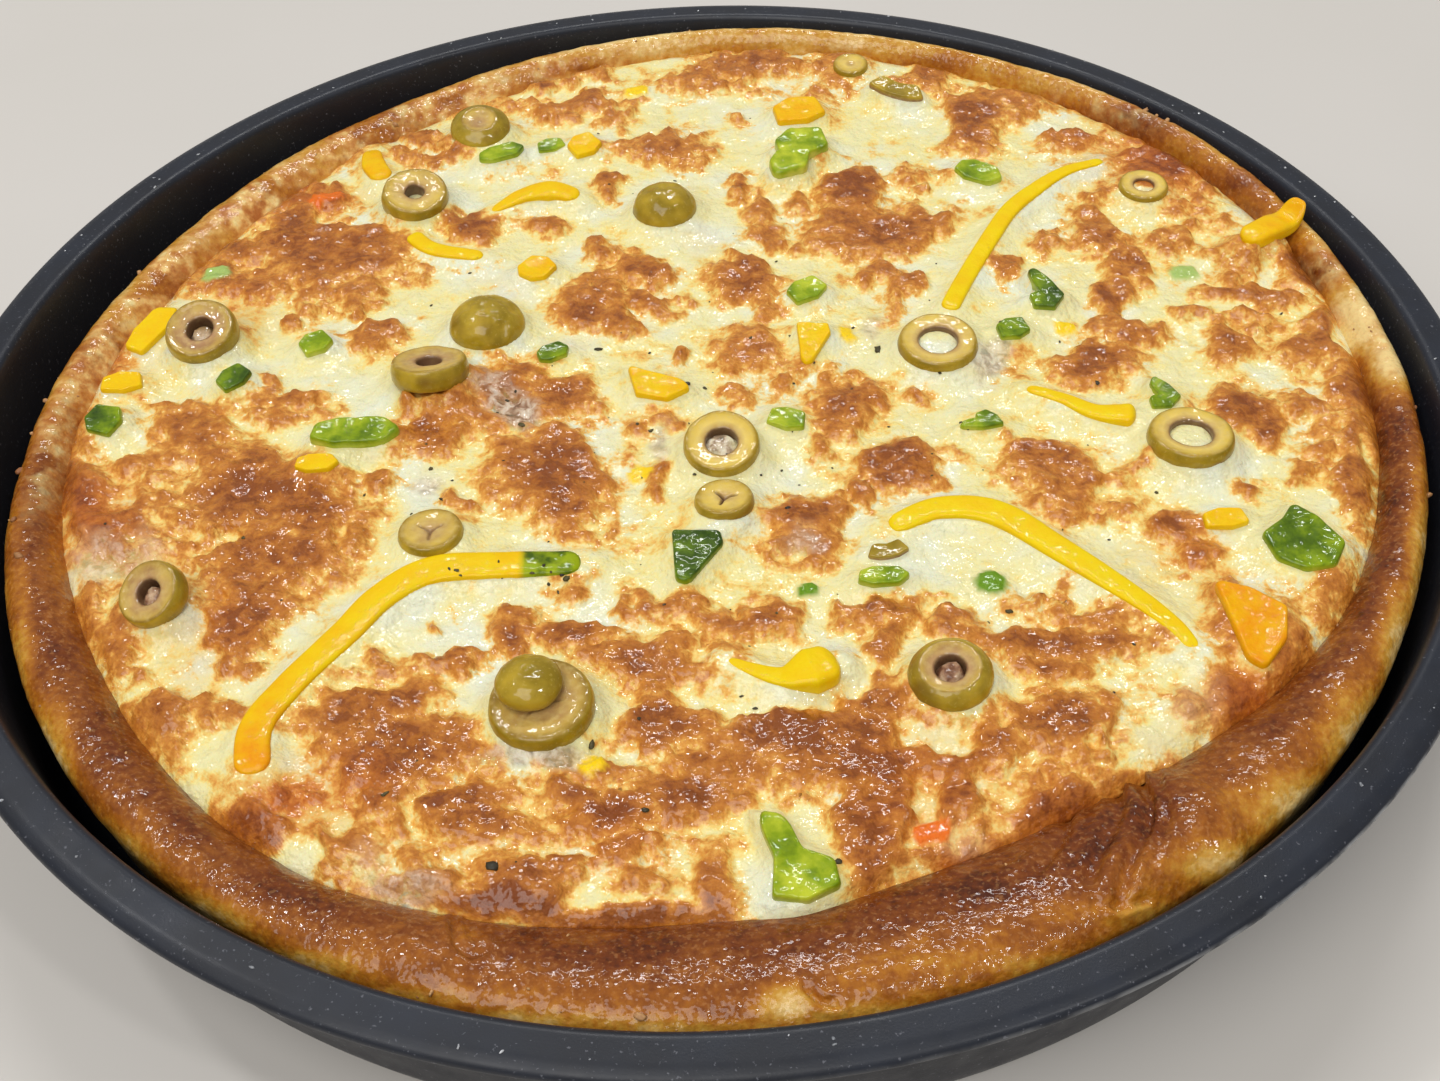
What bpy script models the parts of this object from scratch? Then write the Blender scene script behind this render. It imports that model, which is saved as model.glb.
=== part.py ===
"""Deep dish pizza in its round steel pan, at its real size, with each topping as a solid.

Lengths below are millimetres, turned into metres where a mesh is made. The origin is the middle of the
pan's base, +Z is up, and -Y is the side that faces the person who eats it.
"""
import math

import bmesh
import bpy
import numpy as np
from mathutils import Matrix, Vector
from mathutils.bvhtree import BVHTree

MM = 0.001
CLEARANCE = 0.35
# Places along an edge, as shares of its length, where a piece's clearance is measured.
EDGE_SHARES = (0.0, 0.2, 0.4, 0.6, 0.8)

# The pan is a 12 inch one, measured across its mouth.
PAN_MOUTH_RADIUS = 152.4
PAN_HEIGHT = 40.0
LIP_WIDTH = 8.6
SHEET = 1.4
WALL_FOOT_RADIUS = 148.6
WALL_FOOT_HEIGHT = 6.0
FLOOR_RADIUS = 145.0
FOOT_ROUND = 1.2
MOUTH_ROUND = 1.0
LIP_FALL = 0.9
BEAD_RADIUS = 1.3
PAN_STEPS = 72

# The crust's outline, crest and cheese line, read every 30 degrees from +X towards +Y.
CRUST_RADIUS = (149.6, 151.2, 150.6, 150.0, 147.5, 144.0, 144.0, 147.0, 149.8, 150.6, 149.8, 148.6)
CRUST_CREST = (38.0, 39.4, 39.3, 38.6, 35.2, 34.6, 35.0, 36.0, 36.0, 36.0, 36.5, 37.2)
CHEESE_RADIUS = (141.0, 143.5, 143.5, 142.0, 136.0, 132.0, 134.0, 132.6, 134.6, 127.4, 125.6, 136.4)
CRUST_STEPS = 96
CRUST_BASE = SHEET + CLEARANCE
DOUGH_FLOOR = 26.0
CHEESE_LINE = 30.0
CHEESE_LEVEL = 33.2
CHEESE_CELLS = 38
# The dough's side, from its foot to below the rim: inset from the outline, height.
CRUST_SIDE = ((9.0, CRUST_BASE), (5.4, 3.6), (2.8, 12.0), (1.2, 25.0))
# The rim: share of the way in from the outline to the cheese, drop below the crest.
CRUST_RIM = ((0.01, 4.6), (0.05, 2.6), (0.18, 0.7), (0.4, 0.0), (0.66, 0.9), (0.88, 3.2))
RIM_ROWS = slice(6, 11)
CRUST_LEDGE = 2.2

# Lumps and folds of the dough rim: x, y, half length, half width, turn in degrees, height.
CRUST_LUMPS = (
    (81, -117, 12, 5, 112, 1.6),
    (70, -124, 9, 5, 25, 1.2),
    (-47, -134, 6, 6, 0, 0.8),
    (28, -143, 9, 4, 5, 0.9),
    (116, 84, 13, 7, -40, 0.9),
)

# Browned blisters of the cheese: x, y, half length, half width, turn in degrees, height.
CHEESE_MOUNDS = (
    (-86, 57, 21, 13, -8, 3.0),
    (-118, -18, 11, 15, 10, 2.4),
    (-89, -25, 14, 15, 30, 2.8),
    (-84, -46, 14, 13, 20, 2.6),
    (-33, -24, 13, 15, -10, 3.4),
    (10, 38, 9, 8, 0, 2.6),
    (-17, 36, 14, 8, 15, 2.2),
    (38, 66, 15, 17, -20, 3.0),
    (8, 131, 16, 8, 0, 1.8),
    (-10, 95, 13, 8, 0, 1.8),
    (41, -28, 12, 9, 10, 3.2),
    (76, -32, 13, 9, 0, 2.6),
    (111, -13, 8, 12, 0, 2.4),
    (34, -6, 11, 10, 0, 2.2),
    (18, -44, 10, 9, 0, 3.0),
    (-11, -70, 16, 6, 12, 2.2),
    (16, -71, 11, 6, -10, 2.0),
    (-22, -101, 12, 9, 0, 2.6),
    (10, -100, 20, 9, 8, 3.2),
    (68, -77, 18, 9, -12, 3.0),
    (61, -97, 11, 8, 0, 2.6),
    (-56, -88, 14, 12, 30, 2.8),
    (-42, -106, 14, 9, 0, 2.2),
    (102, 47, 10, 13, 20, 2.4),
    (87, 13, 14, 12, 30, 2.4),
    (132, 24, 9, 10, 0, 2.0),
    (128, -8, 9, 14, 10, 2.0),
    (73, 97, 12, 12, 0, 2.0),
    (115, 82, 12, 15, -30, 1.8),
    (-48, 0, 11, 8, 0, 2.2),
    (-97, 4, 13, 8, 15, 1.6),
    (33, -112, 12, 8, 20, 2.0),
    (91, -55, 7, 6, 0, 1.6),
    (-77, 27, 8, 7, 0, 1.8),
    (-49, 59, 6, 5, -10, 2.4),
    (-58, 93, 9, 5, 10, 2.0),
)

# Green olives cut across: name, x, y, diameter, thickness, hole diameter, tilt, direction it tilts to.
OLIVE_RINGS = (
    ("olive_ring_01", -54, 105, 15.5, 5.0, 0.0, 10, -70),
    ("olive_ring_02", -68, 75, 16.6, 4.6, 4.6, 12, -60),
    ("olive_ring_03", -110, 24, 16.4, 5.0, 6.0, 18, -100),
    ("olive_ring_04", -58, 6, 17.0, 5.0, 5.4, 18, 90),
    ("olive_ring_05", 52, 10, 17.8, 4.2, 8.4, 3, -90),
    ("olive_ring_06", 99, -25, 17.8, 4.0, 8.6, 4, 80),
    ("olive_ring_07", 4, -20, 16.0, 4.0, 6.6, 14, -90),
    ("olive_ring_08", -54, -41, 13.2, 3.0, 0.0, 4, 90),
    ("olive_ring_09", -104, -56, 13.6, 4.4, 5.0, 28, -130),
    ("olive_ring_10", -30, -87, 19.4, 4.6, 0.0, 4, -110),
    ("olive_ring_11", 43, -84, 15.6, 5.6, 5.6, 8, -130),
    ("olive_ring_12", 108, 65, 12.0, 2.6, 4.8, 4, -90),
    ("olive_ring_13", 4, -36.4, 12.2, 3.0, 0.0, 8, 90),
    ("olive_ring_14", 43, 127, 9.4, 2.4, 0.0, 6, -90),
)
# How far out an olive's upper cut face reaches, as a share of its radius.
OLIVE_FACE = 0.93
SMALL_FACES = {"olive_ring_01": 0.6, "olive_ring_11": 0.74}
OLIVE_STEPS = 16

# Rounded ends of olives: name, x, y, diameter, height, the olive that it lies on.
OLIVE_ENDS = (
    ("olive_end_01", -7, 67, 15.8, 8.0, None),
    ("olive_end_02", -47, 24, 17.4, 8.0, None),
    ("olive_end_03", -32, -85, 12.4, 4.6, "olive_ring_10"),
)

# Strips of sweet pepper: name, width, thickness, taper along the route, route of x, y places.
PEPPER_STRIPS = (
    ("yellow_strip_01", 6.6, 2.6, (0.9, 1.0, 1.05, 1.0, 0.95, 0.9, 0.95, 1.0),
     ((-24, -50), (-38, -50), (-53, -51), (-62, -57), (-68, -66), (-77, -79), (-81, -88), (-80, -98))),
    ("yellow_strip_02", 6.0, 2.6, (0.8, 1.0, 1.1, 1.0, 0.9, 0.7, 0.45),
     ((36, -44), (46, -40), (57, -42), (68, -53), (79, -65), (85, -73), (88, -80))),
    ("yellow_strip_03", 4.4, 2.4, (0.6, 0.8, 1.0, 1.0, 1.0, 1.0, 1.0),
     ((101, 78), (92, 75), (84, 69), (76, 61), (70, 51), (63, 38), (56, 23))),
    ("yellow_strip_04", 5.6, 2.6, (0.8, 1.1, 1.0), ((-82, 102), (-80.5, 94), (-77, 87))),
    ("yellow_strip_05", 4.4, 2.4, (1.0, 1.0, 0.8), ((-68, 62), (-62, 56), (-50, 52))),
    ("yellow_strip_06", 4.8, 2.4, (0.5, 1.0, 1.4, 1.0), ((-49, 70), (-41, 76), (-34, 77), (-28, 74))),
    ("yellow_strip_07", 4.0, 2.4, (0.6, 0.8, 1.1, 1.6), ((69, -5), (76, -9), (82, -14), (90, -16))),
    ("yellow_strip_08", 4.8, 2.6, (0.3, 0.6, 0.9, 1.9, 1.6),
     ((3, -77), (8, -80), (13, -82), (18, -81), (23, -79))),
    ("yellow_strip_09", 6.4, 3.6, (1.0, 1.1, 0.9), ((125, 38), (132.5, 42.5), (140, 47.5))),
)
STRIP_SIDES = 8
STRIP_SPACING = 5.0

# Outlines of cut pepper pieces, from -1 to 1 along and across.
CUT_OUTLINES = {
    "dice": ((-1, -0.8), (0.2, -1), (1, -0.5), (0.8, 0.8), (-0.3, 1), (-1, 0.5)),
    "wedge": ((-1, 1), (-0.6, -0.8), (0.4, -1), (1, -0.2), (0.8, 0.2)),
    "corner": ((-1, 1), (-0.9, -0.9), (-0.5, -1), (1, 0.5), (0.9, 0.9)),
    "bean": ((-1, -0.3), (-0.5, -0.9), (0.6, -1), (1, -0.2), (0.7, 0.7), (-0.4, 1), (-0.9, 0.6)),
    "lobes": (
        (-1, -0.9), (-0.1, -1), (0.2, -0.4), (0.9, -0.2), (1, 0.6), (0.2, 1), (-0.4, 0.6), (-0.45, 0),
        (-0.9, -0.2),
    ),
    "horn": (
        (-0.9, 1), (-0.3, 0.9), (0.1, 0.1), (0.9, -0.2), (1, -0.7), (0.2, -1), (-0.6, -0.9), (-0.5, 0),
    ),
    "hook": ((-1, -0.7), (0, -1), (1, -0.6), (0.8, 0.3), (0.3, 1), (-0.1, 0.7), (0, -0.2), (-0.8, -0.2)),
    "leaf": ((-1, -0.1), (-0.5, 0.5), (-0.3, 1), (0.3, 0.7), (1, 0), (0.8, -0.7), (0.1, -1), (-0.6, -0.8)),
    "shard": ((-1, 1), (0, 0.8), (1, 0.3), (0.7, -0.4), (-0.2, -1), (-0.6, -0.8)),
    "half_ring": (
        (-1, -0.4), (-0.5, -0.9), (0, -1), (0.5, -0.9), (1, -0.4), (0.7, 0.8), (0, 0.4), (-0.7, 0.8),
    ),
}

# Cut pieces: name, outline, x, y, length, width, turn in degrees, thickness, tilt in degrees.
CUT_PIECES = (
    ("yellow_dice_01", "dice", -27, 96, 8, 8, 30, 3.2, 8),
    ("yellow_dice_02", "bean", -37, 45, 8.4, 8.4, 60, 2.8, 4),
    ("yellow_dice_03", "dice", 28, 106, 13, 10, 10, 3.6, 6),
    ("yellow_dice_04", "corner", 25.5, 13, 7.4, 12.5, 0, 2.8, 6),
    ("yellow_dice_05", "wedge", -9, 1, 14, 9, -8, 3.4, 6),
    ("yellow_dice_06", "dice", -123, 29, 15, 7, 62, 3.0, 8),
    ("yellow_dice_07", "dice", -126, 11, 9, 6, 0, 3.0, 6),
    ("yellow_dice_08", "bean", -79, -20, 9, 5.0, 5, 2.6, 4),
    ("yellow_dice_09", "dice", 101, -47, 8.6, 5, 0, 2.8, 6),
    ("orange_dice_01", "shard", 100, -75, 12, 20, 0, 3.6, 6),
    ("green_dice_01", "lobes", 26, 86, 18, 16, 20, 5.0, 6),
    ("green_dice_02", "bean", -48, 94, 12, 5.6, 22, 2.8, 8),
    ("green_dice_03", "dice", -35.5, 97.5, 7, 4.4, 10, 2.6, 8),
    ("green_dice_04", "bean", 70, 75, 12, 7, -24, 3.2, 8),
    ("green_dice_05", "hook", 77, 27, 8, 13.5, 20, 3.2, 8),
    ("green_dice_06", "dice", 69, 14, 7, 6, 10, 3.0, 8),
    ("green_dice_07", "dice", 25, 32, 9, 7, 30, 3.0, 6),
    ("green_dice_08", "bean", -32, 14, 7.4, 5, 30, 2.8, 6),
    ("green_dice_09", "dice", -85, 21, 7, 7, 30, 3.0, 6),
    ("green_dice_10", "dice", -101, 9, 7.4, 6, 40, 3.0, 8),
    ("green_dice_11", "dice", -127, -2, 7.6, 8, 70, 3.0, 10),
    ("green_dice_12", "bean", -72, -11.5, 19, 8, 4, 4.4, 4),
    ("green_dice_13", "dice", 18, -12, 8, 6, -20, 3.0, 6),
    ("green_dice_14", "hook", 58, -14.5, 9, 5, 0, 2.8, 6),
    ("green_dice_15", "hook", 96, -10, 7, 9, 20, 3.0, 8),
    ("green_dice_16", "leaf", 114, -54, 15.5, 16, -15, 3.2, 6),
    ("green_dice_17", "corner", -1.5, -51, 10, 13, 0, 3.0, 6),
    ("green_dice_18", "bean", 33.5, -58, 10, 4.6, 5, 3.2, 6),
    ("green_dice_19", "horn", 13, -120, 14, 17, 0, 4.0, 6),
    ("olive_half_01", "half_ring", 54, 113, 15, 6, -25, 3.4, 14),
    ("olive_half_02", "half_ring", 35, -50.5, 8, 4, 10, 2.6, 8),
)
CUT_ROUNDING = 0.5

# Small bits baked into the cheese: x, y, length, width, turn in degrees.
BAKED_BITS = (
    (-14, 124, 6, 5, 0),
    (33, 18, 3, 5, 10),
    (-13, -24, 4.5, 4, 20),
    (81, 16, 4.5, 4, -10),
    (-21, -99, 4.5, 4, 30),
    (36, -115, 6, 4, 15),
    (-91, 80, 8, 4, 15),
    (111, 34, 6, 5, 0),
    (-113, 51, 7, 5, 20),
    (19, -58.5, 3.6, 3, 0),
    (54, -59, 5, 6, 70),
)
BIT_HEIGHT = 4.0
BIT_PROUD = 1.2

# Colour, roughness and metallic value of each material.
FINISHES = {
    "pan_coating": ((0.035, 0.042, 0.055), 0.42, 0.3),
    "baked_dough": ((0.42, 0.19, 0.06), 0.45, 0.0),
    "melted_cheese": ((0.86, 0.76, 0.45), 0.35, 0.0),
    "green_olive": ((0.30, 0.27, 0.06), 0.25, 0.0),
    "yellow_pepper": ((0.92, 0.60, 0.02), 0.22, 0.0),
    "orange_pepper": ((0.90, 0.38, 0.02), 0.25, 0.0),
    "green_pepper": ((0.10, 0.34, 0.03), 0.22, 0.0),
}


def clear_scene():
    for item in list(bpy.data.objects):
        bpy.data.objects.remove(item, do_unlink=True)


def new_collection(name):
    collection = bpy.data.collections.new(name)
    bpy.context.scene.collection.children.link(collection)
    return collection


def new_material(name):
    colour, roughness, metallic = FINISHES[name]
    material = bpy.data.materials.new(name)
    material.use_nodes = True
    shader = material.node_tree.nodes["Principled BSDF"]
    shader.inputs["Base Color"].default_value = (*colour, 1.0)
    shader.inputs["Roughness"].default_value = roughness
    shader.inputs["Metallic"].default_value = metallic
    return material


def add_object(name, data, collection, finish):
    item = bpy.data.objects.new(name, data)
    item.data.materials.append(bpy.data.materials[finish])
    collection.objects.link(item)
    return item


def mesh_from(name, points, faces):
    """A mesh from points in millimetres, with coinciding points merged and every face turned outwards."""
    mesh = bpy.data.meshes.new(name)
    mesh.from_pydata((np.asarray(points) * MM).tolist(), [], faces)
    weld(mesh)
    return mesh


def weld(mesh):
    """Merges points that coincide, and splits faces into triangles, so a bent face has one known form."""
    body = bmesh.new()
    body.from_mesh(mesh)
    bmesh.ops.remove_doubles(body, verts=body.verts, dist=1e-6)
    bmesh.ops.triangulate(body, faces=body.faces)
    bmesh.ops.recalc_face_normals(body, faces=body.faces)
    body.to_mesh(mesh)
    body.free()
    mesh.update()


def smooth(mesh, angle=40):
    mesh.shade_smooth()
    mesh.set_sharp_from_angle(angle=math.radians(angle))


def points_of(mesh):
    flat = np.empty(len(mesh.vertices) * 3)
    mesh.vertices.foreach_get("co", flat)
    return flat.reshape(-1, 3) / MM


def set_points(mesh, points):
    mesh.vertices.foreach_set("co", (points * MM).ravel())
    mesh.update()


def around(values, angle):
    """Reads values spaced evenly round the circle at any angle, along a smooth closed cubic."""
    values = np.asarray(values, float)
    place = np.asarray(angle) / (2 * math.pi) * len(values)
    low = np.floor(place).astype(int)
    t = place - low
    a, b, c, d = (values[(low + step) % len(values)] for step in (-1, 0, 1, 2))
    return b + 0.5 * t * (c - a + t * (2 * a - 5 * b + 4 * c - d + t * (3 * (b - c) + d - a)))


def ovals(rows, x, y):
    """The height of rounded lumps, each the bell of its own turned oval."""
    total = np.zeros_like(x)
    for centre_x, centre_y, half_length, half_width, turn, height in rows:
        c, s = math.cos(math.radians(turn)), math.sin(math.radians(turn))
        along = ((x - centre_x) * c + (y - centre_y) * s) / half_length
        across = ((y - centre_y) * c - (x - centre_x) * s) / half_width
        total += height * np.exp(-(along ** 4 + 2 * along ** 2 * across ** 2 + across ** 4))
    return total


def build_pan(collection):
    """The section runs from the floor's middle up the wall, over the rolled lip and down the outer side."""
    outer = PAN_MOUTH_RADIUS + LIP_WIDTH
    bead = outer - BEAD_RADIUS
    bead_height = PAN_HEIGHT - LIP_FALL - BEAD_RADIUS
    section = (
        (0, SHEET),
        (FLOOR_RADIUS, SHEET),
        (WALL_FOOT_RADIUS - FOOT_ROUND, SHEET + FOOT_ROUND),
        (WALL_FOOT_RADIUS, WALL_FOOT_HEIGHT),
        (PAN_MOUTH_RADIUS - 0.4 * MOUTH_ROUND, PAN_HEIGHT - 2.5 * MOUTH_ROUND),
        (PAN_MOUTH_RADIUS, PAN_HEIGHT - 0.8 * MOUTH_ROUND),
        (PAN_MOUTH_RADIUS + MOUTH_ROUND, PAN_HEIGHT),
        (bead - BEAD_RADIUS, PAN_HEIGHT - LIP_FALL / 2),
        (bead + 0.5 * BEAD_RADIUS, bead_height + 0.85 * BEAD_RADIUS),
        (outer, bead_height),
        (bead + 0.5 * BEAD_RADIUS, bead_height - 0.85 * BEAD_RADIUS),
        (bead - BEAD_RADIUS, bead_height),
        (PAN_MOUTH_RADIUS + MOUTH_ROUND + SHEET, PAN_HEIGHT - SHEET),
        (PAN_MOUTH_RADIUS + SHEET, PAN_HEIGHT - 2 * SHEET),
        (WALL_FOOT_RADIUS + SHEET, WALL_FOOT_HEIGHT),
        (WALL_FOOT_RADIUS - FOOT_ROUND + SHEET / 2, FOOT_ROUND),
        (FLOOR_RADIUS, 0),
        (0, 0),
    )
    mesh = bpy.data.meshes.new("pan")
    points = [(r * MM, 0, z * MM) for r, z in section]
    mesh.from_pydata(points, [(i, i + 1) for i in range(len(points) - 1)], [])
    pan = add_object("pan", mesh, collection, "pan_coating")
    turn = pan.modifiers.new("turned", "SCREW")
    turn.steps = PAN_STEPS
    turn.render_steps = PAN_STEPS
    turn.use_merge_vertices = True
    turn.merge_threshold = 0.00001
    return pan


def crust_section(angle):
    """Points of the dough's section at one angle: base, side, rounded rim, inner slope and flat middle."""
    radius = float(around(CRUST_RADIUS, angle))
    crest = float(around(CRUST_CREST, angle))
    inner = float(around(CHEESE_RADIUS, angle))
    rim = radius - inner
    side = tuple((radius - inset, height) for inset, height in CRUST_SIDE)
    crown = tuple((radius - share * rim, crest - drop) for share, drop in CRUST_RIM)
    hollow = ((inner, CHEESE_LINE), (inner - CRUST_LEDGE, DOUGH_FLOOR), (0, DOUGH_FLOOR))
    return ((0, CRUST_BASE),) + side + crown + hollow


def build_crust(collection):
    """A loft round the axis through sections that differ, because baked dough is nowhere the same."""
    angles = [2 * math.pi * step / CRUST_STEPS for step in range(CRUST_STEPS)]
    sections = np.array([crust_section(angle) for angle in angles])
    count = sections.shape[1]
    turns = np.array(angles)[:, None]
    x = sections[:, :, 0] * np.cos(turns)
    y = sections[:, :, 0] * np.sin(turns)
    rim_rows = np.zeros(count)
    rim_rows[RIM_ROWS] = 1.0
    z = sections[:, :, 1] + ovals(CRUST_LUMPS, x, y) * rim_rows
    points = np.stack((x, y, z), axis=2).reshape(-1, 3)
    faces = []
    for step in range(CRUST_STEPS):
        here, following = step * count, (step + 1) % CRUST_STEPS * count
        for row in range(count - 1):
            faces.append((here + row, following + row, following + row + 1, here + row + 1))
    mesh = mesh_from("crust", points, faces)
    smooth(mesh, 60)
    return add_object("crust", mesh, collection, "baked_dough")


def topping_beds():
    """Centre and radius of the flat bed that each topping lies on."""
    beds = [(row[1], row[2], row[3] / 2) for row in OLIVE_RINGS + OLIVE_ENDS]
    beds += [(row[2], row[3], max(row[4], row[5]) / 2) for row in CUT_PIECES]
    for _, width, _, _, route in PEPPER_STRIPS:
        beds += [(x, y, width) for x, y in spaced_route(route)]
    return beds


def cheese_height(x, y):
    """The cheese's height: a level that follows the crest, low waves, and blisters off the toppings."""
    angle = np.arctan2(y, x)
    reach = np.hypot(x, y) / around(CHEESE_RADIUS, angle)
    level = CHEESE_LEVEL + 0.8 * (around(CRUST_CREST, angle) - 36.0) * reach ** 4
    waves = 0.3 * np.sin(x / 9.0 + 1.0) * np.sin(y / 11.0) + 0.2 * np.sin((x + y) / 6.0)
    blisters = ovals(CHEESE_MOUNDS, x, y)
    for bed_x, bed_y, radius in topping_beds():
        blisters *= 1.0 - 0.9 * np.exp(-(np.hypot(x - bed_x, y - bed_y) / (radius + 1.5)) ** 4)
    edge = np.clip((1.0 - reach) * 9.0, 0.0, 1.0)
    return level + (waves + blisters) * edge - 0.9 * (1.0 - edge) ** 2


def build_cheese(collection):
    """A square grid drawn out into the cheese's round outline, with a wall down and a flat base."""
    body = bmesh.new()
    bmesh.ops.create_grid(body, x_segments=CHEESE_CELLS, y_segments=CHEESE_CELLS, size=1.0)
    rim = [edge for edge in body.edges if edge.is_boundary]
    wall = bmesh.ops.extrude_edge_only(body, edges=rim)["geom"]
    waist = [item for item in wall if isinstance(item, bmesh.types.BMEdge)]
    body.verts.index_update()
    waist_points = {item.index for item in wall if isinstance(item, bmesh.types.BMVert)}
    foot = bmesh.ops.extrude_edge_only(body, edges=waist)["geom"]
    foot_edges = [item for item in foot if isinstance(item, bmesh.types.BMEdge)]
    body.verts.index_update()
    foot_points = {item.index for item in foot if isinstance(item, bmesh.types.BMVert)}
    bmesh.ops.contextual_create(body, geom=foot_edges)
    mesh = bpy.data.meshes.new("cheese")
    body.to_mesh(mesh)
    body.free()
    square = np.clip(points_of(mesh) * MM, -1.0, 1.0)
    x = square[:, 0] * np.sqrt(1.0 - square[:, 1] ** 2 / 2)
    y = square[:, 1] * np.sqrt(1.0 - square[:, 0] ** 2 / 2)
    angle = np.arctan2(y, x)
    inset = np.full(len(x), 0.5)
    inset[list(foot_points)] = 2.7
    radius = np.hypot(x, y) * (around(CHEESE_RADIUS, angle) - inset)
    points = np.stack((radius * np.cos(angle), radius * np.sin(angle), np.zeros(len(x))), axis=1)
    points[:, 2] = cheese_height(points[:, 0], points[:, 1])
    points[list(waist_points), 2] = CHEESE_LINE + 0.2
    points[list(foot_points), 2] = DOUGH_FLOOR + CLEARANCE
    set_points(mesh, points)
    weld(mesh)
    smooth(mesh, 60)
    return add_object("cheese", mesh, collection, "melted_cheese")


def bake_in_bits(cheese, cutters):
    """Fuses the smallest bits of pepper to the cheese, each a block sunk in its surface."""
    ground = Ground([cheese])
    for x, y, length, width, turn in BAKED_BITS:
        bpy.ops.mesh.primitive_cube_add(size=1)
        bit = bpy.context.object
        bit.name = "baked_bit"
        bit.scale = (length * MM, width * MM, BIT_HEIGHT * MM)
        bit.rotation_euler.z = math.radians(turn)
        centre = ground.height(x, y) + BIT_PROUD - BIT_HEIGHT / 2
        bit.location = (x * MM, y * MM, centre * MM)
        for owner in list(bit.users_collection):
            owner.objects.unlink(bit)
        cutters.objects.link(bit)
    join = cheese.modifiers.new("baked_in", "BOOLEAN")
    join.operation = "UNION"
    join.operand_type = "COLLECTION"
    join.collection = cutters
    fused = evaluated_mesh(cheese)
    cheese.modifiers.clear()
    weld(fused)
    cheese.data = fused
    for bit in list(cutters.objects):
        bpy.data.objects.remove(bit, do_unlink=True)


def evaluated_mesh(item):
    """A plain mesh of what an object shows once its modifiers or curve settings have run."""
    bpy.context.view_layer.update()
    graph = bpy.context.evaluated_depsgraph_get()
    return bpy.data.meshes.new_from_object(item.evaluated_get(graph))


class Ground:
    """The surface that toppings are laid on, asked for its height at any place."""

    def __init__(self, items):
        points, faces = [], []
        for item in items:
            start = len(points)
            points += [Vector(point) for point in points_of(item.data)]
            faces += [[start + index for index in face.vertices] for face in item.data.polygons]
        self.points = points
        self.tree = BVHTree.FromPolygons(points, faces)

    def height(self, x, y):
        hit = self.tree.ray_cast(Vector((x, y, 200.0)), Vector((0, 0, -1)))[0]
        return hit.z if hit else 0.0

    def lift_for(self, points, faces):
        """How far a piece rises so that it clears this surface everywhere by the usual clearance."""
        gaps = []
        for face in faces:
            corners = points[face]
            following = np.roll(corners, 1, axis=0)
            samples = [corners + (following - corners) * share for share in EDGE_SHARES]
            samples.append(corners.mean(axis=0, keepdims=True))
            gaps += [z - self.height(x, y) for x, y, z in np.concatenate(samples)]
        piece = BVHTree.FromPolygons([Vector(point) for point in points], faces)
        low, high = points.min(axis=0), points.max(axis=0)
        for point in self.points:
            if low[0] < point.x < high[0] and low[1] < point.y < high[1]:
                hit = piece.ray_cast(Vector((point.x, point.y, -200.0)), Vector((0, 0, 1)))[0]
                if hit:
                    gaps.append(hit.z - self.height(point.x, point.y))
        return CLEARANCE - min(gaps)


def lay_down(mesh, ground, x, y, turn=0.0, tilt=0.0, tilt_towards=0.0):
    """Turns and tilts a flat piece, moves it to its place and lowers it onto the ground."""
    points = points_of(mesh)
    matrix = Matrix.Rotation(math.radians(turn), 3, "Z")
    if tilt:
        side = math.radians(tilt_towards + 90)
        axis = Vector((math.cos(side), math.sin(side), 0))
        matrix = Matrix.Rotation(math.radians(tilt), 3, axis) @ matrix
    points = points @ np.array(matrix).T + (x, y, 0)
    faces = [list(face.vertices) for face in mesh.polygons]
    points[:, 2] += ground.lift_for(points, faces)
    set_points(mesh, points)


def turned_mesh(name, section, steps):
    """A closed solid turned from a section of radius, height points."""
    item = bpy.data.objects.new(name, bpy.data.meshes.new(name))
    edges = [(i, i + 1) for i in range(len(section) - 1)]
    if section[0][0] > 0:
        edges.append((len(section) - 1, 0))
    item.data.from_pydata([(r * MM, 0, z * MM) for r, z in section], edges, [])
    bpy.context.scene.collection.objects.link(item)
    turn = item.modifiers.new("turned", "SCREW")
    turn.steps = steps
    turn.render_steps = steps
    turn.use_merge_vertices = True
    turn.merge_threshold = 0.00001
    mesh = evaluated_mesh(item)
    bpy.data.objects.remove(item, do_unlink=True)
    weld(mesh)
    smooth(mesh, 35)
    return mesh


def ring_section(diameter, thickness, hole, face):
    """An olive slice's section: a bulging skin, flat faces, and the pit's hole if the cut shows one."""
    radius = diameter / 2
    skin = ((radius * face, thickness), (radius, thickness * 0.5), (radius * OLIVE_FACE, 0))
    if hole:
        return ((hole / 2, 0), (hole / 2, thickness * 0.9)) + skin
    return ((0, thickness * 0.86), (radius * 0.3, thickness * 0.92)) + skin + ((0, 0),)


def end_section(diameter, height):
    """An olive end's section: half an egg above a flat cut."""
    radius = diameter / 2
    angles = (math.radians(step) for step in (90, 62, 34, 8))
    curve = tuple((radius * math.cos(a), 0.22 * height + 0.78 * height * math.sin(a)) for a in angles)
    return ((0, height),) + curve[1:] + ((radius * 0.95, 0), (0, 0))


def build_olives(collection, ground):
    by_name = {}
    for name, x, y, diameter, thickness, hole, tilt, towards in OLIVE_RINGS:
        section = ring_section(diameter, thickness, hole, SMALL_FACES.get(name, OLIVE_FACE))
        mesh = turned_mesh(name, section, OLIVE_STEPS)
        lay_down(mesh, ground, x, y, tilt=tilt, tilt_towards=towards)
        by_name[name] = add_object(name, mesh, collection, "green_olive")
    for name, x, y, diameter, height, below in OLIVE_ENDS:
        mesh = turned_mesh(name, end_section(diameter, height), OLIVE_STEPS)
        lay_down(mesh, Ground([by_name[below]]) if below else ground, x, y)
        by_name[name] = add_object(name, mesh, collection, "green_olive")


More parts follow.
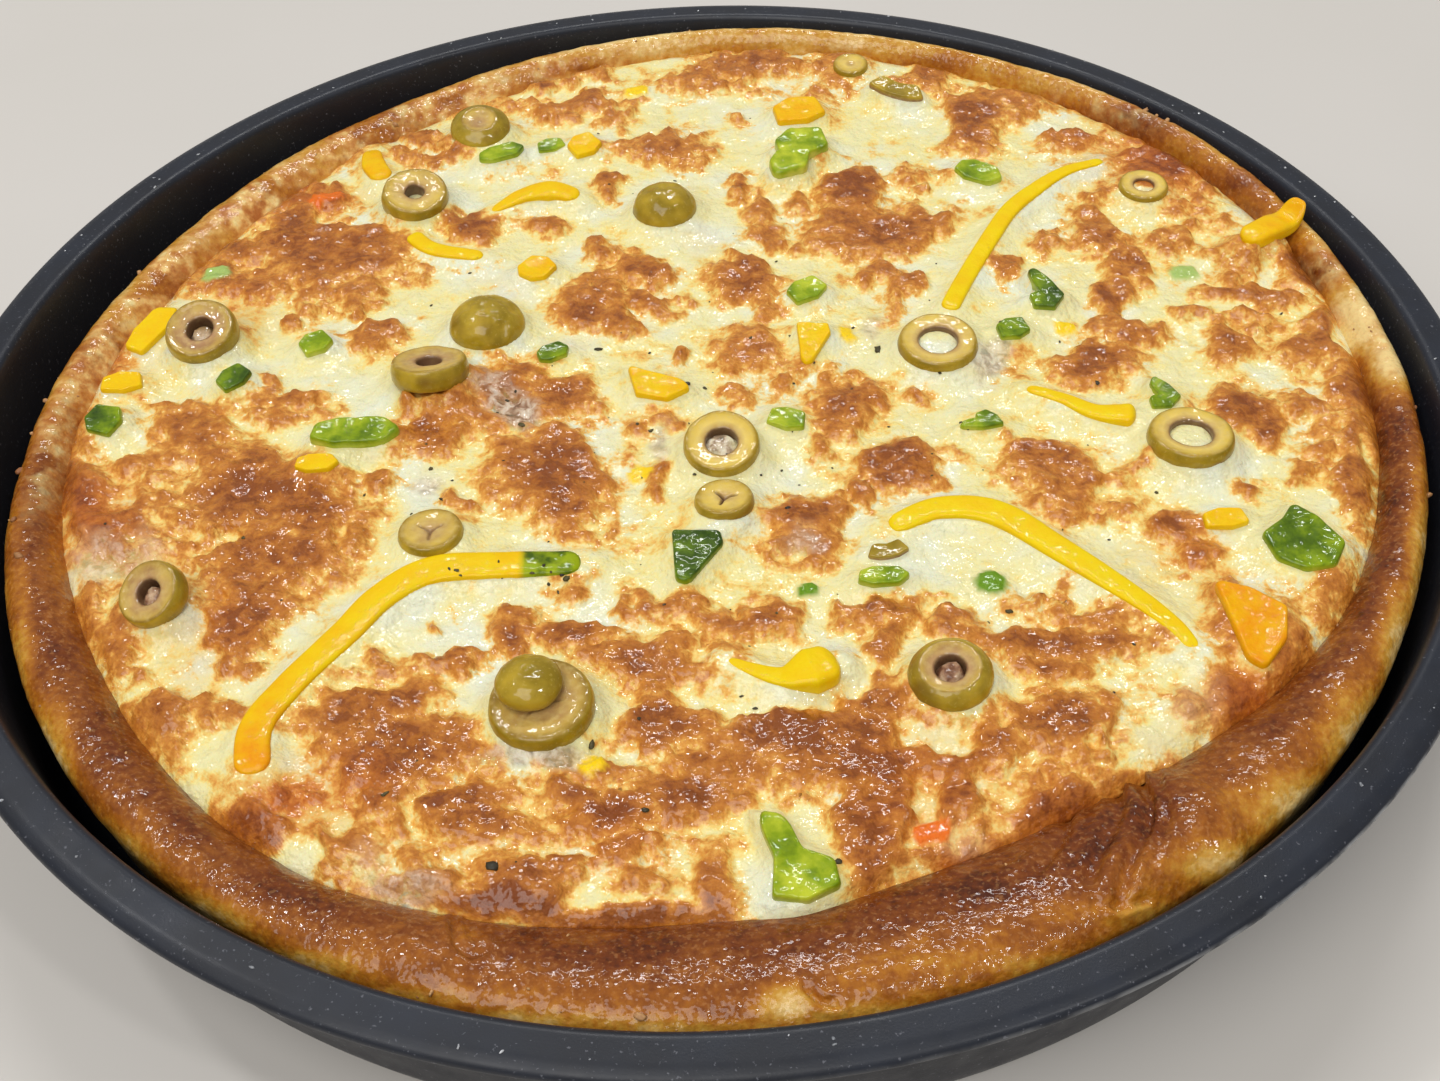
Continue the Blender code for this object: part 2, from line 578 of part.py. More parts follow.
def spaced_route(route):
    """Points at even spacing along a smooth cubic through the route's places."""
    ends = [2 * np.subtract(route[0], 0) - route[1]] + [np.array(p, float) for p in route]
    ends.append(2 * ends[-1] - ends[-2])
    fine = []
    for a, b, c, d in zip(ends, ends[1:], ends[2:], ends[3:]):
        for t in np.arange(0.0, 1.0, 0.125):
            fine.append(b + 0.5 * t * (c - a + t * (2 * a - 5 * b + 4 * c - d + t * (3 * (b - c) + d - a))))
    fine = np.array(fine + [ends[-2]])
    walked = np.concatenate(([0.0], np.cumsum(np.hypot(*np.diff(fine, axis=0).T))))
    count = max(3, round(walked[-1] / STRIP_SPACING) + 1)
    marks = np.linspace(0.0, walked[-1], count)
    return np.stack((np.interp(marks, walked, fine[:, 0]), np.interp(marks, walked, fine[:, 1])), axis=1)


def strip_mesh(name, width, thickness, taper, route):
    """A strip of pepper: an oval carried along its route, wider and narrower as it was cut."""
    scene_objects = bpy.context.scene.collection.objects
    oval = bpy.data.curves.new("strip_oval", "CURVE")
    oval.dimensions = "2D"
    ring = oval.splines.new("POLY")
    ring.points.add(STRIP_SIDES - 1)
    for index, point in enumerate(ring.points):
        angle = 2 * math.pi * index / STRIP_SIDES
        point.co = (width / 2 * MM * math.cos(angle), thickness / 2 * MM * math.sin(angle), 0, 1)
    ring.use_cyclic_u = True
    oval_object = bpy.data.objects.new("strip_oval", oval)
    scene_objects.link(oval_object)
    curve = bpy.data.curves.new(name, "CURVE")
    curve.dimensions = "3D"
    curve.twist_mode = "Z_UP"
    curve.bevel_mode = "OBJECT"
    curve.bevel_object = oval_object
    curve.use_fill_caps = True
    places = spaced_route(route)
    line = curve.splines.new("POLY")
    line.points.add(len(places) - 1)
    widths = np.interp(np.linspace(0, 1, len(places)), np.linspace(0, 1, len(taper)), taper)
    for point, place, scale in zip(line.points, places, widths):
        point.co = (place[0] * MM, place[1] * MM, 0, 1)
        point.radius = scale
    item = bpy.data.objects.new(name, curve)
    scene_objects.link(item)
    mesh = evaluated_mesh(item)
    bpy.data.objects.remove(item, do_unlink=True)
    bpy.data.objects.remove(oval_object, do_unlink=True)
    weld(mesh)
    return mesh


def build_strips(collection, ground):
    for name, width, thickness, taper, route in PEPPER_STRIPS:
        mesh = strip_mesh(name, width, thickness, taper, route)
        points = points_of(mesh)
        points[:, 2] += [ground.height(x, y) for x, y, _ in points]
        set_points(mesh, points)
        smooth(mesh, 50)
        lay_down(mesh, ground, 0, 0)
        add_object(name, mesh, collection, "yellow_pepper")


def cut_mesh(name, outline, length, width, thickness):
    """A cut piece: its outline filled on both sides, given its thickness and rounded edges."""
    curve = bpy.data.curves.new(name, "CURVE")
    curve.dimensions = "2D"
    curve.fill_mode = "BOTH"
    curve.extrude = (thickness / 2 - CUT_ROUNDING) * MM
    curve.bevel_depth = CUT_ROUNDING * MM
    curve.bevel_resolution = 0
    line = curve.splines.new("POLY")
    corners = CUT_OUTLINES[outline]
    line.points.add(len(corners) - 1)
    half_length = length / 2 - CUT_ROUNDING
    half_width = width / 2 - CUT_ROUNDING
    for point, (along, across) in zip(line.points, corners):
        point.co = (half_length * along * MM, half_width * across * MM, 0, 1)
    line.use_cyclic_u = True
    item = bpy.data.objects.new(name, curve)
    bpy.context.scene.collection.objects.link(item)
    mesh = evaluated_mesh(item)
    bpy.data.objects.remove(item, do_unlink=True)
    weld(mesh)
    return mesh


def build_cut_pieces(collection, ground):
    finishes = {
        "yellow": "yellow_pepper",
        "orange": "orange_pepper",
        "green": "green_pepper",
        "olive": "green_olive",
    }
    for name, outline, x, y, length, width, turn, thickness, tilt in CUT_PIECES:
        mesh = cut_mesh(name, outline, length, width, thickness)
        lay_down(mesh, ground, x, y, turn=turn, tilt=tilt, tilt_towards=-90)
        add_object(name, mesh, collection, finishes[name.split("_")[0]])


def main():
    clear_scene()
    for finish in FINISHES:
        new_material(finish)
    pizza = new_collection("deep_dish_pizza")
    cutters = new_collection("cutters")
    build_pan(pizza)
    crust = build_crust(pizza)
    cheese = build_cheese(pizza)
    bake_in_bits(cheese, cutters)
    ground = Ground([crust, cheese])
    build_olives(pizza, ground)
    build_strips(pizza, ground)
    build_cut_pieces(pizza, ground)


main()
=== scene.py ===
import itertools
import math

import bmesh
import bpy
import numpy as np
from mathutils import Matrix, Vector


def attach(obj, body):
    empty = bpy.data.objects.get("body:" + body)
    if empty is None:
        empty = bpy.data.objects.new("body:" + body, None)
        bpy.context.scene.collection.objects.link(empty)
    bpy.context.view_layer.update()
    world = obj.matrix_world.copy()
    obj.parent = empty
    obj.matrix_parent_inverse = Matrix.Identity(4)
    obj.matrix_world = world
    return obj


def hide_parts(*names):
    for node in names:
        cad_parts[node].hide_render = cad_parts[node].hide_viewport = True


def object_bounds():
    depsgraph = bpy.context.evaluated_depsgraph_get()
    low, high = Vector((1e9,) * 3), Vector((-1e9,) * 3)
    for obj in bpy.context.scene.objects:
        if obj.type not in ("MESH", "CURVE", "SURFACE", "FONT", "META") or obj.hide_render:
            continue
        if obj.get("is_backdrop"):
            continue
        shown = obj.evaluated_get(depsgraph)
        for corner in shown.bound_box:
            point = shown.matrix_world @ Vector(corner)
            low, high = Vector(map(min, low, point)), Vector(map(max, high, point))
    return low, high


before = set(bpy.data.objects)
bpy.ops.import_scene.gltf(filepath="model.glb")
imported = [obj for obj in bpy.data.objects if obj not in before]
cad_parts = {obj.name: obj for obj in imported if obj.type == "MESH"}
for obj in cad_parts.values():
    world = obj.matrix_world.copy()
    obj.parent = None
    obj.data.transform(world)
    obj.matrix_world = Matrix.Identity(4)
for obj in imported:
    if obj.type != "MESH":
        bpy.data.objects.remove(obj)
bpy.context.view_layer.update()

# The view
# The pizza is seen from close by, on its near side, about 45 degrees above the table and slightly rolled.
# Colours and heights below are placed by pixels of this view, so it is worked out before any piece.
PHOTO_WIDTH, PHOTO_HEIGHT = 1440, 1081
FOCAL_PIXELS = 1700.0
SENSOR_MM = 36.0
VIEW_ELEVATION, VIEW_ROLL = math.radians(45.3), math.radians(-2.55)
VIEW_DISTANCE_MM = 324.6
VIEW_AIM_MM = np.array((2.8, -50.6, 40.0))
MM = 0.001

view_back = np.array((0.0, -math.cos(VIEW_ELEVATION), math.sin(VIEW_ELEVATION)))
level_right = np.array((1.0, 0.0, 0.0))
level_up = np.cross(view_back, level_right)
view_right = math.cos(VIEW_ROLL) * level_right + math.sin(VIEW_ROLL) * level_up
view_up = math.cos(VIEW_ROLL) * level_up - math.sin(VIEW_ROLL) * level_right
view_place = VIEW_AIM_MM + VIEW_DISTANCE_MM * view_back


def photo_pixels(points):
    """Pixels at which points in millimetres show: their sideways and upward offsets over their depth."""
    offset = points - view_place
    depth = -(offset @ view_back)
    across = PHOTO_WIDTH / 2 + FOCAL_PIXELS * (offset @ view_right) / depth
    down = PHOTO_HEIGHT / 2 - FOCAL_PIXELS * (offset @ view_up) / depth
    return np.stack((across, down), axis=-1)


camera = bpy.data.objects.new("camera", bpy.data.cameras.new("camera"))
bpy.context.scene.collection.objects.link(camera)
camera.data.lens = SENSOR_MM * FOCAL_PIXELS / PHOTO_WIDTH
camera.data.sensor_width = SENSOR_MM
camera.data.clip_start = 0.01
camera.matrix_world = Matrix([
    [*row, place * MM] for row, place in zip(np.stack((view_right, view_up, view_back), axis=1), view_place)
] + [[0, 0, 0, 1]])
bpy.context.scene.camera = camera
bpy.context.scene.view_settings.view_transform = "Standard"

# The pan
# A 12 inch round pan pressed from sheet steel, with a flat lip rolled over at its edge, and a dark non-stick
# coating that is satin and faintly speckled. It is one turned surface with its inside and its outside.
MOUTH_RADIUS, PAN_HEIGHT, LIP_WIDTH, SHEET = 152.4, 40.0, 8.6, 1.4
WALL_FOOT_RADIUS, WALL_FOOT_HEIGHT, FLOOR_RADIUS = 148.6, 6.0, 145.0
FOOT_ROUND, MOUTH_ROUND, LIP_FALL, BEAD_RADIUS = 1.2, 1.0, 0.9, 1.3
PAN_STEPS, PAN_ROWS, PAN_FINE = 300, 180, 2400
# The bearing and half span, in degrees, over which a highlight is painted in light grey along the rolled
# edge.
HIGHLIGHT_BEARING, HIGHLIGHT_SPAN = -48.0, 24.0
COATING = (30, 33, 41)
# A darker, bluer copy of the coating's colour, painted on the inner wall as its shade.
COATING_WALL_SHADE = (26, 29, 38)


def soft_line(corners, count, rounding, closed=False):
    """Evenly spaced points along straight runs, with the corners rounded by a moving average."""
    corners = np.asarray(corners, float)
    if closed:
        corners = np.concatenate((corners, corners[..., :1, :]), axis=-2)
    runs = np.linalg.norm(np.diff(corners, axis=-2), axis=-1).reshape(-1, corners.shape[-2] - 1).mean(axis=0)
    walked = np.concatenate(([0.0], np.cumsum(runs)))
    marks = np.linspace(0.0, walked[-1], count, endpoint=not closed)
    low = np.clip(np.searchsorted(walked, marks, side="right") - 1, 0, len(walked) - 2)
    share = ((marks - walked[low]) / runs[low])[:, None]
    line = corners[..., low, :] * (1 - share) + corners[..., low + 1, :] * share
    reach = max(1, round(rounding / walked[-1] * count / 2))
    steps = np.arange(count)
    total = np.zeros_like(line)
    for shift in range(-reach, reach + 1):
        picked = (steps + shift) % count if closed else np.clip(steps + shift, 0, count - 1)
        total += line[..., picked, :]
    softened = total / (2 * reach + 1)
    if not closed:
        softened[..., 0, :], softened[..., -1, :] = line[..., 0, :], line[..., -1, :]
    return softened


def surface(name, points, wrap_rows=False, attributes=()):
    """A mesh over a grid of rows and columns of points in millimetres. Columns close on themselves, rows run
    down the outer side, and points that coincide at a pole are merged."""
    rows, columns = points.shape[:2]
    index = np.arange(rows * columns).reshape(rows, columns)
    below = np.roll(index, -1, axis=0) if wrap_rows else index[1:]
    here = index if wrap_rows else index[:-1]
    beside_here, beside_below = np.roll(here, -1, axis=1), np.roll(below, -1, axis=1)
    quads = np.stack((here, below, beside_below, beside_here), axis=-1).reshape(-1, 4)
    return mesh_object(name, points.reshape(-1, 3), quads, attributes)


def mesh_object(name, points, faces, attributes=()):
    """An object from points in millimetres and faces, with named values kept on its points."""
    mesh = bpy.data.meshes.new(name)
    face_lists = faces.tolist() if hasattr(faces, "tolist") else faces
    mesh.from_pydata((np.asarray(points) * MM).tolist(), [], face_lists)
    for title, values in dict(attributes).items():
        attribute = mesh.attributes.new(title, "FLOAT", "POINT")
        attribute.data.foreach_set("value", np.ravel(values).astype(np.float32))
    body = bmesh.new()
    body.from_mesh(mesh)
    bmesh.ops.remove_doubles(body, verts=body.verts, dist=1e-7)
    body.to_mesh(mesh)
    body.free()
    mesh.shade_smooth()
    item = bpy.data.objects.new(name, mesh)
    bpy.context.scene.collection.objects.link(item)
    return item


def turned(section, steps):
    """Points of a turned surface: each point of the section goes round the upright axis."""
    angles = np.linspace(0, 2 * math.pi, steps, endpoint=False)
    radius, height = section[:, :1], section[:, 1:]
    return np.stack((radius * np.cos(angles), radius * np.sin(angles), height + 0 * angles), axis=-1)


def paint(red, green, blue):
    """A colour seen as three numbers up to 255, as the light that a shader works with."""
    return (*(((value / 255 + 0.055) / 1.055) ** 2.4 for value in (red, green, blue)), 1.0)


def node(tree, kind, inputs=None, **settings):
    """Adds a shader node. Its inputs are given as values or as the sockets that feed them."""
    item = tree.nodes.new("ShaderNode" + kind)
    for key, value in settings.items():
        setattr(item, key, value)
    for key, value in (inputs or {}).items():
        if isinstance(value, bpy.types.NodeSocket):
            tree.links.new(value, item.inputs[key])
        else:
            item.inputs[key].default_value = value
    return item


def finish(name, **sockets):
    """A new material, its node tree and its shader, with the shader's plain values set."""
    material = bpy.data.materials.new(name)
    material.use_nodes = True
    tree = material.node_tree
    shader = tree.nodes["Principled BSDF"]
    for key, value in sockets.items():
        shader.inputs[key.replace("_", " ")].default_value = value
    return material, tree, shader


def grain(tree, scale, detail=3.0, distortion=0.0):
    """Noise over the object's own place, in cells of the given number for each metre."""
    place = node(tree, "TexCoord").outputs["Object"]
    settings = {"Vector": place, "Scale": scale, "Detail": detail, "Distortion": distortion}
    return node(tree, "TexNoise", settings).outputs["Fac"]


def value_of(tree, title):
    """The named value that the mesh keeps on its points."""
    return node(tree, "Attribute", attribute_name=title).outputs["Fac"]


def blend(tree, factor, first, second, mode="MIX"):
    """Mixes two colours by a factor."""
    item = node(tree, "Mix", data_type="RGBA", blend_type=mode)
    for socket, value in zip((item.inputs[0], item.inputs[6], item.inputs[7]), (factor, first, second)):
        if isinstance(value, bpy.types.NodeSocket):
            tree.links.new(value, socket)
        else:
            socket.default_value = value
    return item.outputs[2]


def sums(tree, first, second, operation="ADD", clamp=False):
    """Joins two numbers by a sum or by the named operation."""
    item = node(tree, "Math", operation=operation, use_clamp=clamp)
    for socket, value in zip(item.inputs, (first, second)):
        if isinstance(value, bpy.types.NodeSocket):
            tree.links.new(value, socket)
        else:
            socket.default_value = value
    return item.outputs[0]


def steps_between(tree, factor, low, high, out_low=0.0, out_high=1.0):
    """A factor spread from one range to another, held at its ends."""
    settings = {"Value": factor, "From Min": low, "From Max": high, "To Min": out_low, "To Max": out_high}
    return node(tree, "MapRange", settings).outputs[0]


def bumps(tree, shader, *layers, socket="Normal"):
    """Fine relief: layers of height, distance in metres and strength, one on the next, into the shader."""
    normal = None
    for height, distance, strength in layers:
        settings = {"Height": height, "Distance": distance, "Strength": strength}
        if normal:
            settings["Normal"] = normal
        normal = node(tree, "Bump", settings).outputs["Normal"]
    tree.links.new(normal, shader.inputs[socket])


def dress(item, material, slot, *nodes):
    """Gives a piece its material and its place on the body, and hides the solids that it stands for.
    The slot is not used.
    """
    item.data.materials.clear()
    item.data.materials.append(material)
    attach(item, "root")
    if nodes:
        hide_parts(*nodes)


outer = MOUTH_RADIUS + LIP_WIDTH
bead, bead_height = outer - BEAD_RADIUS, PAN_HEIGHT - LIP_FALL - BEAD_RADIUS
pan_section = soft_line((
    (0, SHEET),
    (FLOOR_RADIUS, SHEET),
    (WALL_FOOT_RADIUS - FOOT_ROUND, SHEET + FOOT_ROUND),
    (WALL_FOOT_RADIUS, WALL_FOOT_HEIGHT),
    (MOUTH_RADIUS - 0.4 * MOUTH_ROUND, PAN_HEIGHT - 2.5 * MOUTH_ROUND),
    (MOUTH_RADIUS, PAN_HEIGHT - 0.8 * MOUTH_ROUND),
    (MOUTH_RADIUS + MOUTH_ROUND, PAN_HEIGHT),
    (bead - BEAD_RADIUS, PAN_HEIGHT - LIP_FALL / 2),
    (bead + 0.5 * BEAD_RADIUS, bead_height + 0.85 * BEAD_RADIUS),
    (outer, bead_height),
    (bead + 0.5 * BEAD_RADIUS, bead_height - 0.85 * BEAD_RADIUS),
    (bead - BEAD_RADIUS, bead_height),
    (MOUTH_RADIUS + MOUTH_ROUND + SHEET, PAN_HEIGHT - SHEET),
    (MOUTH_RADIUS + SHEET, PAN_HEIGHT - 2 * SHEET),
    (WALL_FOOT_RADIUS + SHEET, WALL_FOOT_HEIGHT),
    (WALL_FOOT_RADIUS - FOOT_ROUND + SHEET / 2, FOOT_ROUND),
    (FLOOR_RADIUS, 0),
    (0, 0),
), PAN_FINE, 1.2)
row_places = np.interp(
    np.linspace(0, 1, PAN_ROWS), (0, 0.06, 0.25, 0.75, 0.94, 1), (0, 0.37, 0.46, 0.535, 0.64, 1),
)
kept = np.round(row_places * (len(pan_section) - 1)).astype(int)
pan_points = turned(pan_section[kept], PAN_STEPS)
pan_reach = np.hypot(pan_points[..., 0], pan_points[..., 1])
pan_bearing = np.degrees(np.arctan2(pan_points[..., 1], pan_points[..., 0]))
over_bead = np.clip((pan_reach - outer + 0.5) / 0.4, 0, 1)
# Where the highlight is painted on the rolled edge.
bead_highlight = over_bead * np.exp(-((pan_bearing - HIGHLIGHT_BEARING) / HIGHLIGHT_SPAN) ** 2)
pan = surface("pan_coated", pan_points, attributes={"height": pan_points[..., 2], "bead_highlight": bead_highlight})
coating, tree, shader = finish(
    "pan_coating", Roughness=0.42, Specular_IOR_Level=0.35, Coat_Weight=0.1, Coat_Roughness=0.25,
)
speckle = steps_between(tree, grain(tree, 1400, 2), 0.66, 0.74)
# Painted shade: below the lip the wall takes the darker copy of the coating's colour.
up_the_wall = steps_between(tree, value_of(tree, "height"), PAN_HEIGHT - 5, PAN_HEIGHT - 0.6)
body_colour = blend(tree, up_the_wall, paint(*COATING_WALL_SHADE), paint(*COATING))
body_colour = blend(tree, steps_between(tree, grain(tree, 90, 4), 0.35, 0.7), body_colour, paint(34, 39, 50))
body_colour = blend(tree, up_the_wall, paint(*COATING_WALL_SHADE), body_colour)
body_colour = blend(tree, speckle, body_colour, paint(88, 90, 98))
# Painted highlight: the rolled edge at the lower right is painted light grey, broken up by noise.
painted_highlight = sums(tree, value_of(tree, "bead_highlight"), steps_between(tree, grain(tree, 160, 3), 0.35, 0.6), "MULTIPLY")
tree.links.new(blend(tree, painted_highlight, body_colour, paint(176, 178, 180)), shader.inputs["Base Color"])
tree.links.new(steps_between(tree, grain(tree, 220, 4), 0.3, 0.7, 0.36, 0.5), shader.inputs["Roughness"])
bumps(tree, shader, (grain(tree, 2600, 3), 0.00006, 0.5))
dress(pan, coating, "pan_coating", "pan")

# The crust
# A thick dough of flour, water and oil, pressed up the pan's side and baked until its rim is deep brown. It
# was brushed with oil, shrank off the wall at the left and right, and has a folded lump at the lower right.
CRUST_RADIUS = (149.6, 151.2, 150.6, 150.0, 147.5, 144.0, 144.0, 147.0, 149.8, 150.6, 149.8, 148.6)
CRUST_CREST = (38.0, 39.4, 39.3, 38.6, 35.2, 34.6, 35.0, 36.0, 36.0, 36.0, 36.5, 37.2)
CHEESE_RADIUS = (141.0, 143.5, 143.5, 142.0, 136.0, 132.0, 134.0, 132.6, 134.6, 127.4, 125.6, 136.4)
CRUST_BASE, DOUGH_FLOOR, CHEESE_LINE, CRUST_LEDGE = 1.75, 26.0, 30.0, 2.2
# The dough's side: inset from the outline and height. The rim: share of the way in and drop below the crest.
CRUST_SIDE = ((9.0, CRUST_BASE), (5.4, 3.6), (2.8, 12.0), (1.2, 25.0))
CRUST_RIM = ((0.01, 4.6), (0.05, 2.6), (0.18, 0.7), (0.4, 0.0), (0.66, 0.9), (0.88, 3.2))
CRUST_STEPS, CRUST_ROWS, CRUST_FINE = 1300, 72, 1600
# The heart of the rim, from which its relief swells: share of the radius and height. Nothing swells nearer to
# the middle of the crust than the last value.
RIM_HEART_SHARE, RIM_HEART_HEIGHT, RIM_REACH = 0.965, 27.0, 110
CRUST_LUMPS = (
    (81, -117, 12, 5, 112, 1.6),
    (70, -124, 9, 5, 25, 1.2),
    (-47, -134, 6, 6, 0, 0.8),
    (28, -143, 9, 4, 5, 0.9),
    (116, 84, 13, 7, -40, 0.9),
)
# Creases of the dough as pixel routes, with their half width in pixels and depth in millimetres.
CRUST_CREASES = (
    (((1132, 768), (1150, 800), (1146, 838), (1128, 872), (1118, 905)), 6, 1.3),
    (((1112, 775), (1118, 806), (1104, 842), (1090, 880)), 7, 0.9),
    (((1160, 780), (1168, 820), (1150, 868)), 5, 0.7),
    (((1070, 795), (1064, 830), (1040, 868)), 7, 0.8),
    (((1094, 906), (1120, 908), (1146, 900)), 4, 0.9),
    (((806, 988), (820, 1002), (836, 1004)), 4, 1.4),
    (((452, 925), (455, 946), (470, 956), (486, 950)), 4, 0.7),
)
# Patches of the rim by pixel: across, down, half width, half height, strength.
RIM_DARK = (
    (985, 890, 120, 30, 1.2), (1090, 850, 60, 50, 0.9), (1385, 480, 22, 70, 0.5), (1375, 590, 22, 60, 0.35),
    (45, 640, 26, 90, 1.0), (85, 760, 35, 60, 0.7), (1150, 130, 60, 26, 0.5), (1205, 150, 40, 22, 0.4),
    (150, 830, 40, 26, 0.5), (640, 935, 120, 20, 0.4), (540, 925, 60, 16, 0.6), (720, 925, 60, 14, 0.5),
    (160, 240, 40, 30, 0.3), (1330, 280, 34, 20, 0.4), (1400, 400, 14, 40, 0.3), (250, 880, 60, 24, 0.5),
)
RIM_PALE = (
    (785, 1002, 24, 18, 1.0), (1392, 325, 26, 44, 1.0), (1318, 232, 36, 24, 0.8), (1240, 205, 30, 20, 0.5),
    (1210, 862, 44, 16, 0.6), (1290, 800, 44, 24, 0.7), (1352, 725, 26, 44, 0.75), (1396, 650, 18, 54, 0.75),
    (1418, 560, 12, 70, 0.6), (1110, 912, 56, 12, 0.5), (960, 962, 100, 12, 0.3), (300, 140, 130, 40, 0.35),
    (700, 45, 330, 26, 1.2), (1020, 80, 160, 30, 1.0), (1200, 150, 90, 30, 0.75), (470, 938, 16, 12, 0.25),
    (1352, 322, 36, 36, 1.7), (62, 570, 22, 90, 0.4), (120, 310, 44, 44, 0.75), (200, 230, 54, 44, 0.8),
    (500, 80, 160, 30, 0.75), (1300, 220, 60, 30, 0.5), (150, 815, 14, 12, 0.3), (310, 165, 60, 30, 0.8),
    (70, 400, 34, 50, 0.5), (1390, 350, 24, 40, 1.5), (50, 770, 20, 50, 0.7), (112, 850, 36, 26, 0.7),
    (192, 914, 50, 16, 0.7), (292, 962, 60, 12, 0.6), (400, 996, 70, 9, 0.5), (560, 1020, 100, 9, 0.45),
    (690, 1028, 80, 8, 0.45), (870, 1012, 70, 9, 0.45), (24, 640, 10, 60, 0.5),
)
# Stretches of the rim that a thin film of cheese ran over, by pixel.
FILMED = (
    (40, 440, 40, 60, 0.6), (85, 350, 44, 60, 0.9), (150, 270, 54, 54, 1.0), (240, 196, 64, 44, 1.0),
    (340, 140, 70, 36, 1.0), (450, 98, 76, 28, 0.9), (570, 66, 80, 22, 0.6), (1330, 260, 30, 24, 0.6),
    (1395, 330, 24, 40, 0.8), (1110, 108, 70, 24, 0.4),
)


def around(values, angle):
    """Reads values spaced evenly round the circle at any angle, along a smooth closed cubic."""
    values = np.asarray(values, float)
    place = np.asarray(angle) / (2 * math.pi) * len(values)
    low = np.floor(place).astype(int)
    t = place - low
    a, b, c, d = (values[(low + step) % len(values)] for step in (-1, 0, 1, 2))
    return b + 0.5 * t * (c - a + t * (2 * a - 5 * b + 4 * c - d + t * (3 * (b - c) + d - a)))


def cloud(points, size, seed, octaves=3):
    """Soft random values from about -1 to 1: one value for each corner of a cubic lattice, joined smoothly,
    and the same again on lattices half as large with half the strength."""
    total, strength = 0.0, 0.6
    for octave in range(octaves):
        cell = points / size * 2 ** octave + seed
        base = np.floor(cell).astype(np.int64)
        share = cell - base
        share = share * share * (3 - 2 * share)
        value = 0.0
        for corner in itertools.product((0, 1), repeat=3):
            key = (base + corner) @ np.array((374761393, 668265263, 1440662683)) + seed * 69069
            key = ((key ^ (key >> 13)) * 1274126177) & 0xFFFFFFFF
            key = ((key ^ (key >> 15)) * 2246822519) & 0xFFFFFFFF
            weight = np.prod(np.where(corner, share, 1 - share), axis=-1)
            value = value + weight * ((key ^ (key >> 16)) / 0xFFFFFFFF * 2 - 1)
        total = total + strength * value
        strength /= 2
    return total * 1.4


def ovals(rows, x, y):
    """The height of rounded lumps, each the bell of its own turned oval."""
    total = np.zeros_like(x)
    for centre_x, centre_y, half_length, half_width, turn, height in rows:
        c, s = math.cos(math.radians(turn)), math.sin(math.radians(turn))
        along = ((x - centre_x) * c + (y - centre_y) * s) / half_length
        across = ((y - centre_y) * c - (x - centre_x) * s) / half_width
        total += height * np.exp(-(along ** 2 + across ** 2) ** 2)
    return total


def patches(rows, pixels, softness=0.5):
    """The strongest of many oval patches at each pixel, full in the middle and gone just past the edge."""
    total = np.zeros(pixels.shape[:-1])
    for across, down, half_width, half_height, strength in rows:
        reach = np.hypot((pixels[..., 0] - across) / half_width, (pixels[..., 1] - down) / half_height)
        total = np.maximum(total, strength * np.clip((1 + softness - reach) / (2 * softness), 0, 1))
    return total


def route_distance(route, places):
    """Distance from each place to the nearest point of a route of straight runs."""
    nearest = np.full(places.shape[:-1], 1e9)
    for start, end in zip(route[:-1], route[1:]):
        start, run = np.asarray(start, float), np.subtract(end, start)
        share = np.clip(((places - start) @ run) / (run @ run), 0, 1)
        nearest = np.minimum(nearest, np.linalg.norm(places - start - share[..., None] * run, axis=-1))
    return nearest


def crust_sections(angles):
    """The dough's section at each angle: base, side, rounded rim, inner slope and flat middle."""
    radius, crest, inner = (around(values, angles) for values in (CRUST_RADIUS, CRUST_CREST, CHEESE_RADIUS))
    rim = radius - inner
    level = np.ones_like(angles)
    side = [(radius - inset, height * level) for inset, height in CRUST_SIDE]
    crown = [(radius - share * rim, crest - drop) for share, drop in CRUST_RIM]
    hollow = [
        (inner, CHEESE_LINE * level),
        (inner - CRUST_LEDGE, DOUGH_FLOOR * level),
        (0 * level, DOUGH_FLOOR * level),
    ]
    corners = [(0 * level, CRUST_BASE * level), *side, *crown, *hollow]
    return np.stack([np.stack(pair, axis=-1) for pair in corners], axis=-2)


def linear_ramp(tree, factor, stops):
    """A colour read from a factor: stops are places from 0 to 1 with their colours as light."""
    item = node(tree, "ValToRGB", {"Fac": factor})
    elements = item.color_ramp.elements
    while len(elements) < len(stops):
        elements.new(0.5)
    for element, (place, colour) in zip(elements, stops):
        element.position = place
        element.color = colour
    return item.outputs["Color"]


def ramp(tree, factor, stops):
    """A colour read from a factor: stops are places from 0 to 1 with their colours as seen."""
    return linear_ramp(tree, factor, [(place, paint(*colour)) for place, colour in stops])


def ramp_value(tree, factor, stops):
    """A number read from a factor: stops are places from 0 to 1 with their numbers."""
    return linear_ramp(tree, factor, [(place, (number, number, number, 1.0)) for place, number in stops])


def coat_bumps(tree, shader, *layers):
    """Relief of the oil film alone, which breaks its reflections into scattered sparks."""
    bumps(tree, shader, *layers, socket="Coat Normal")


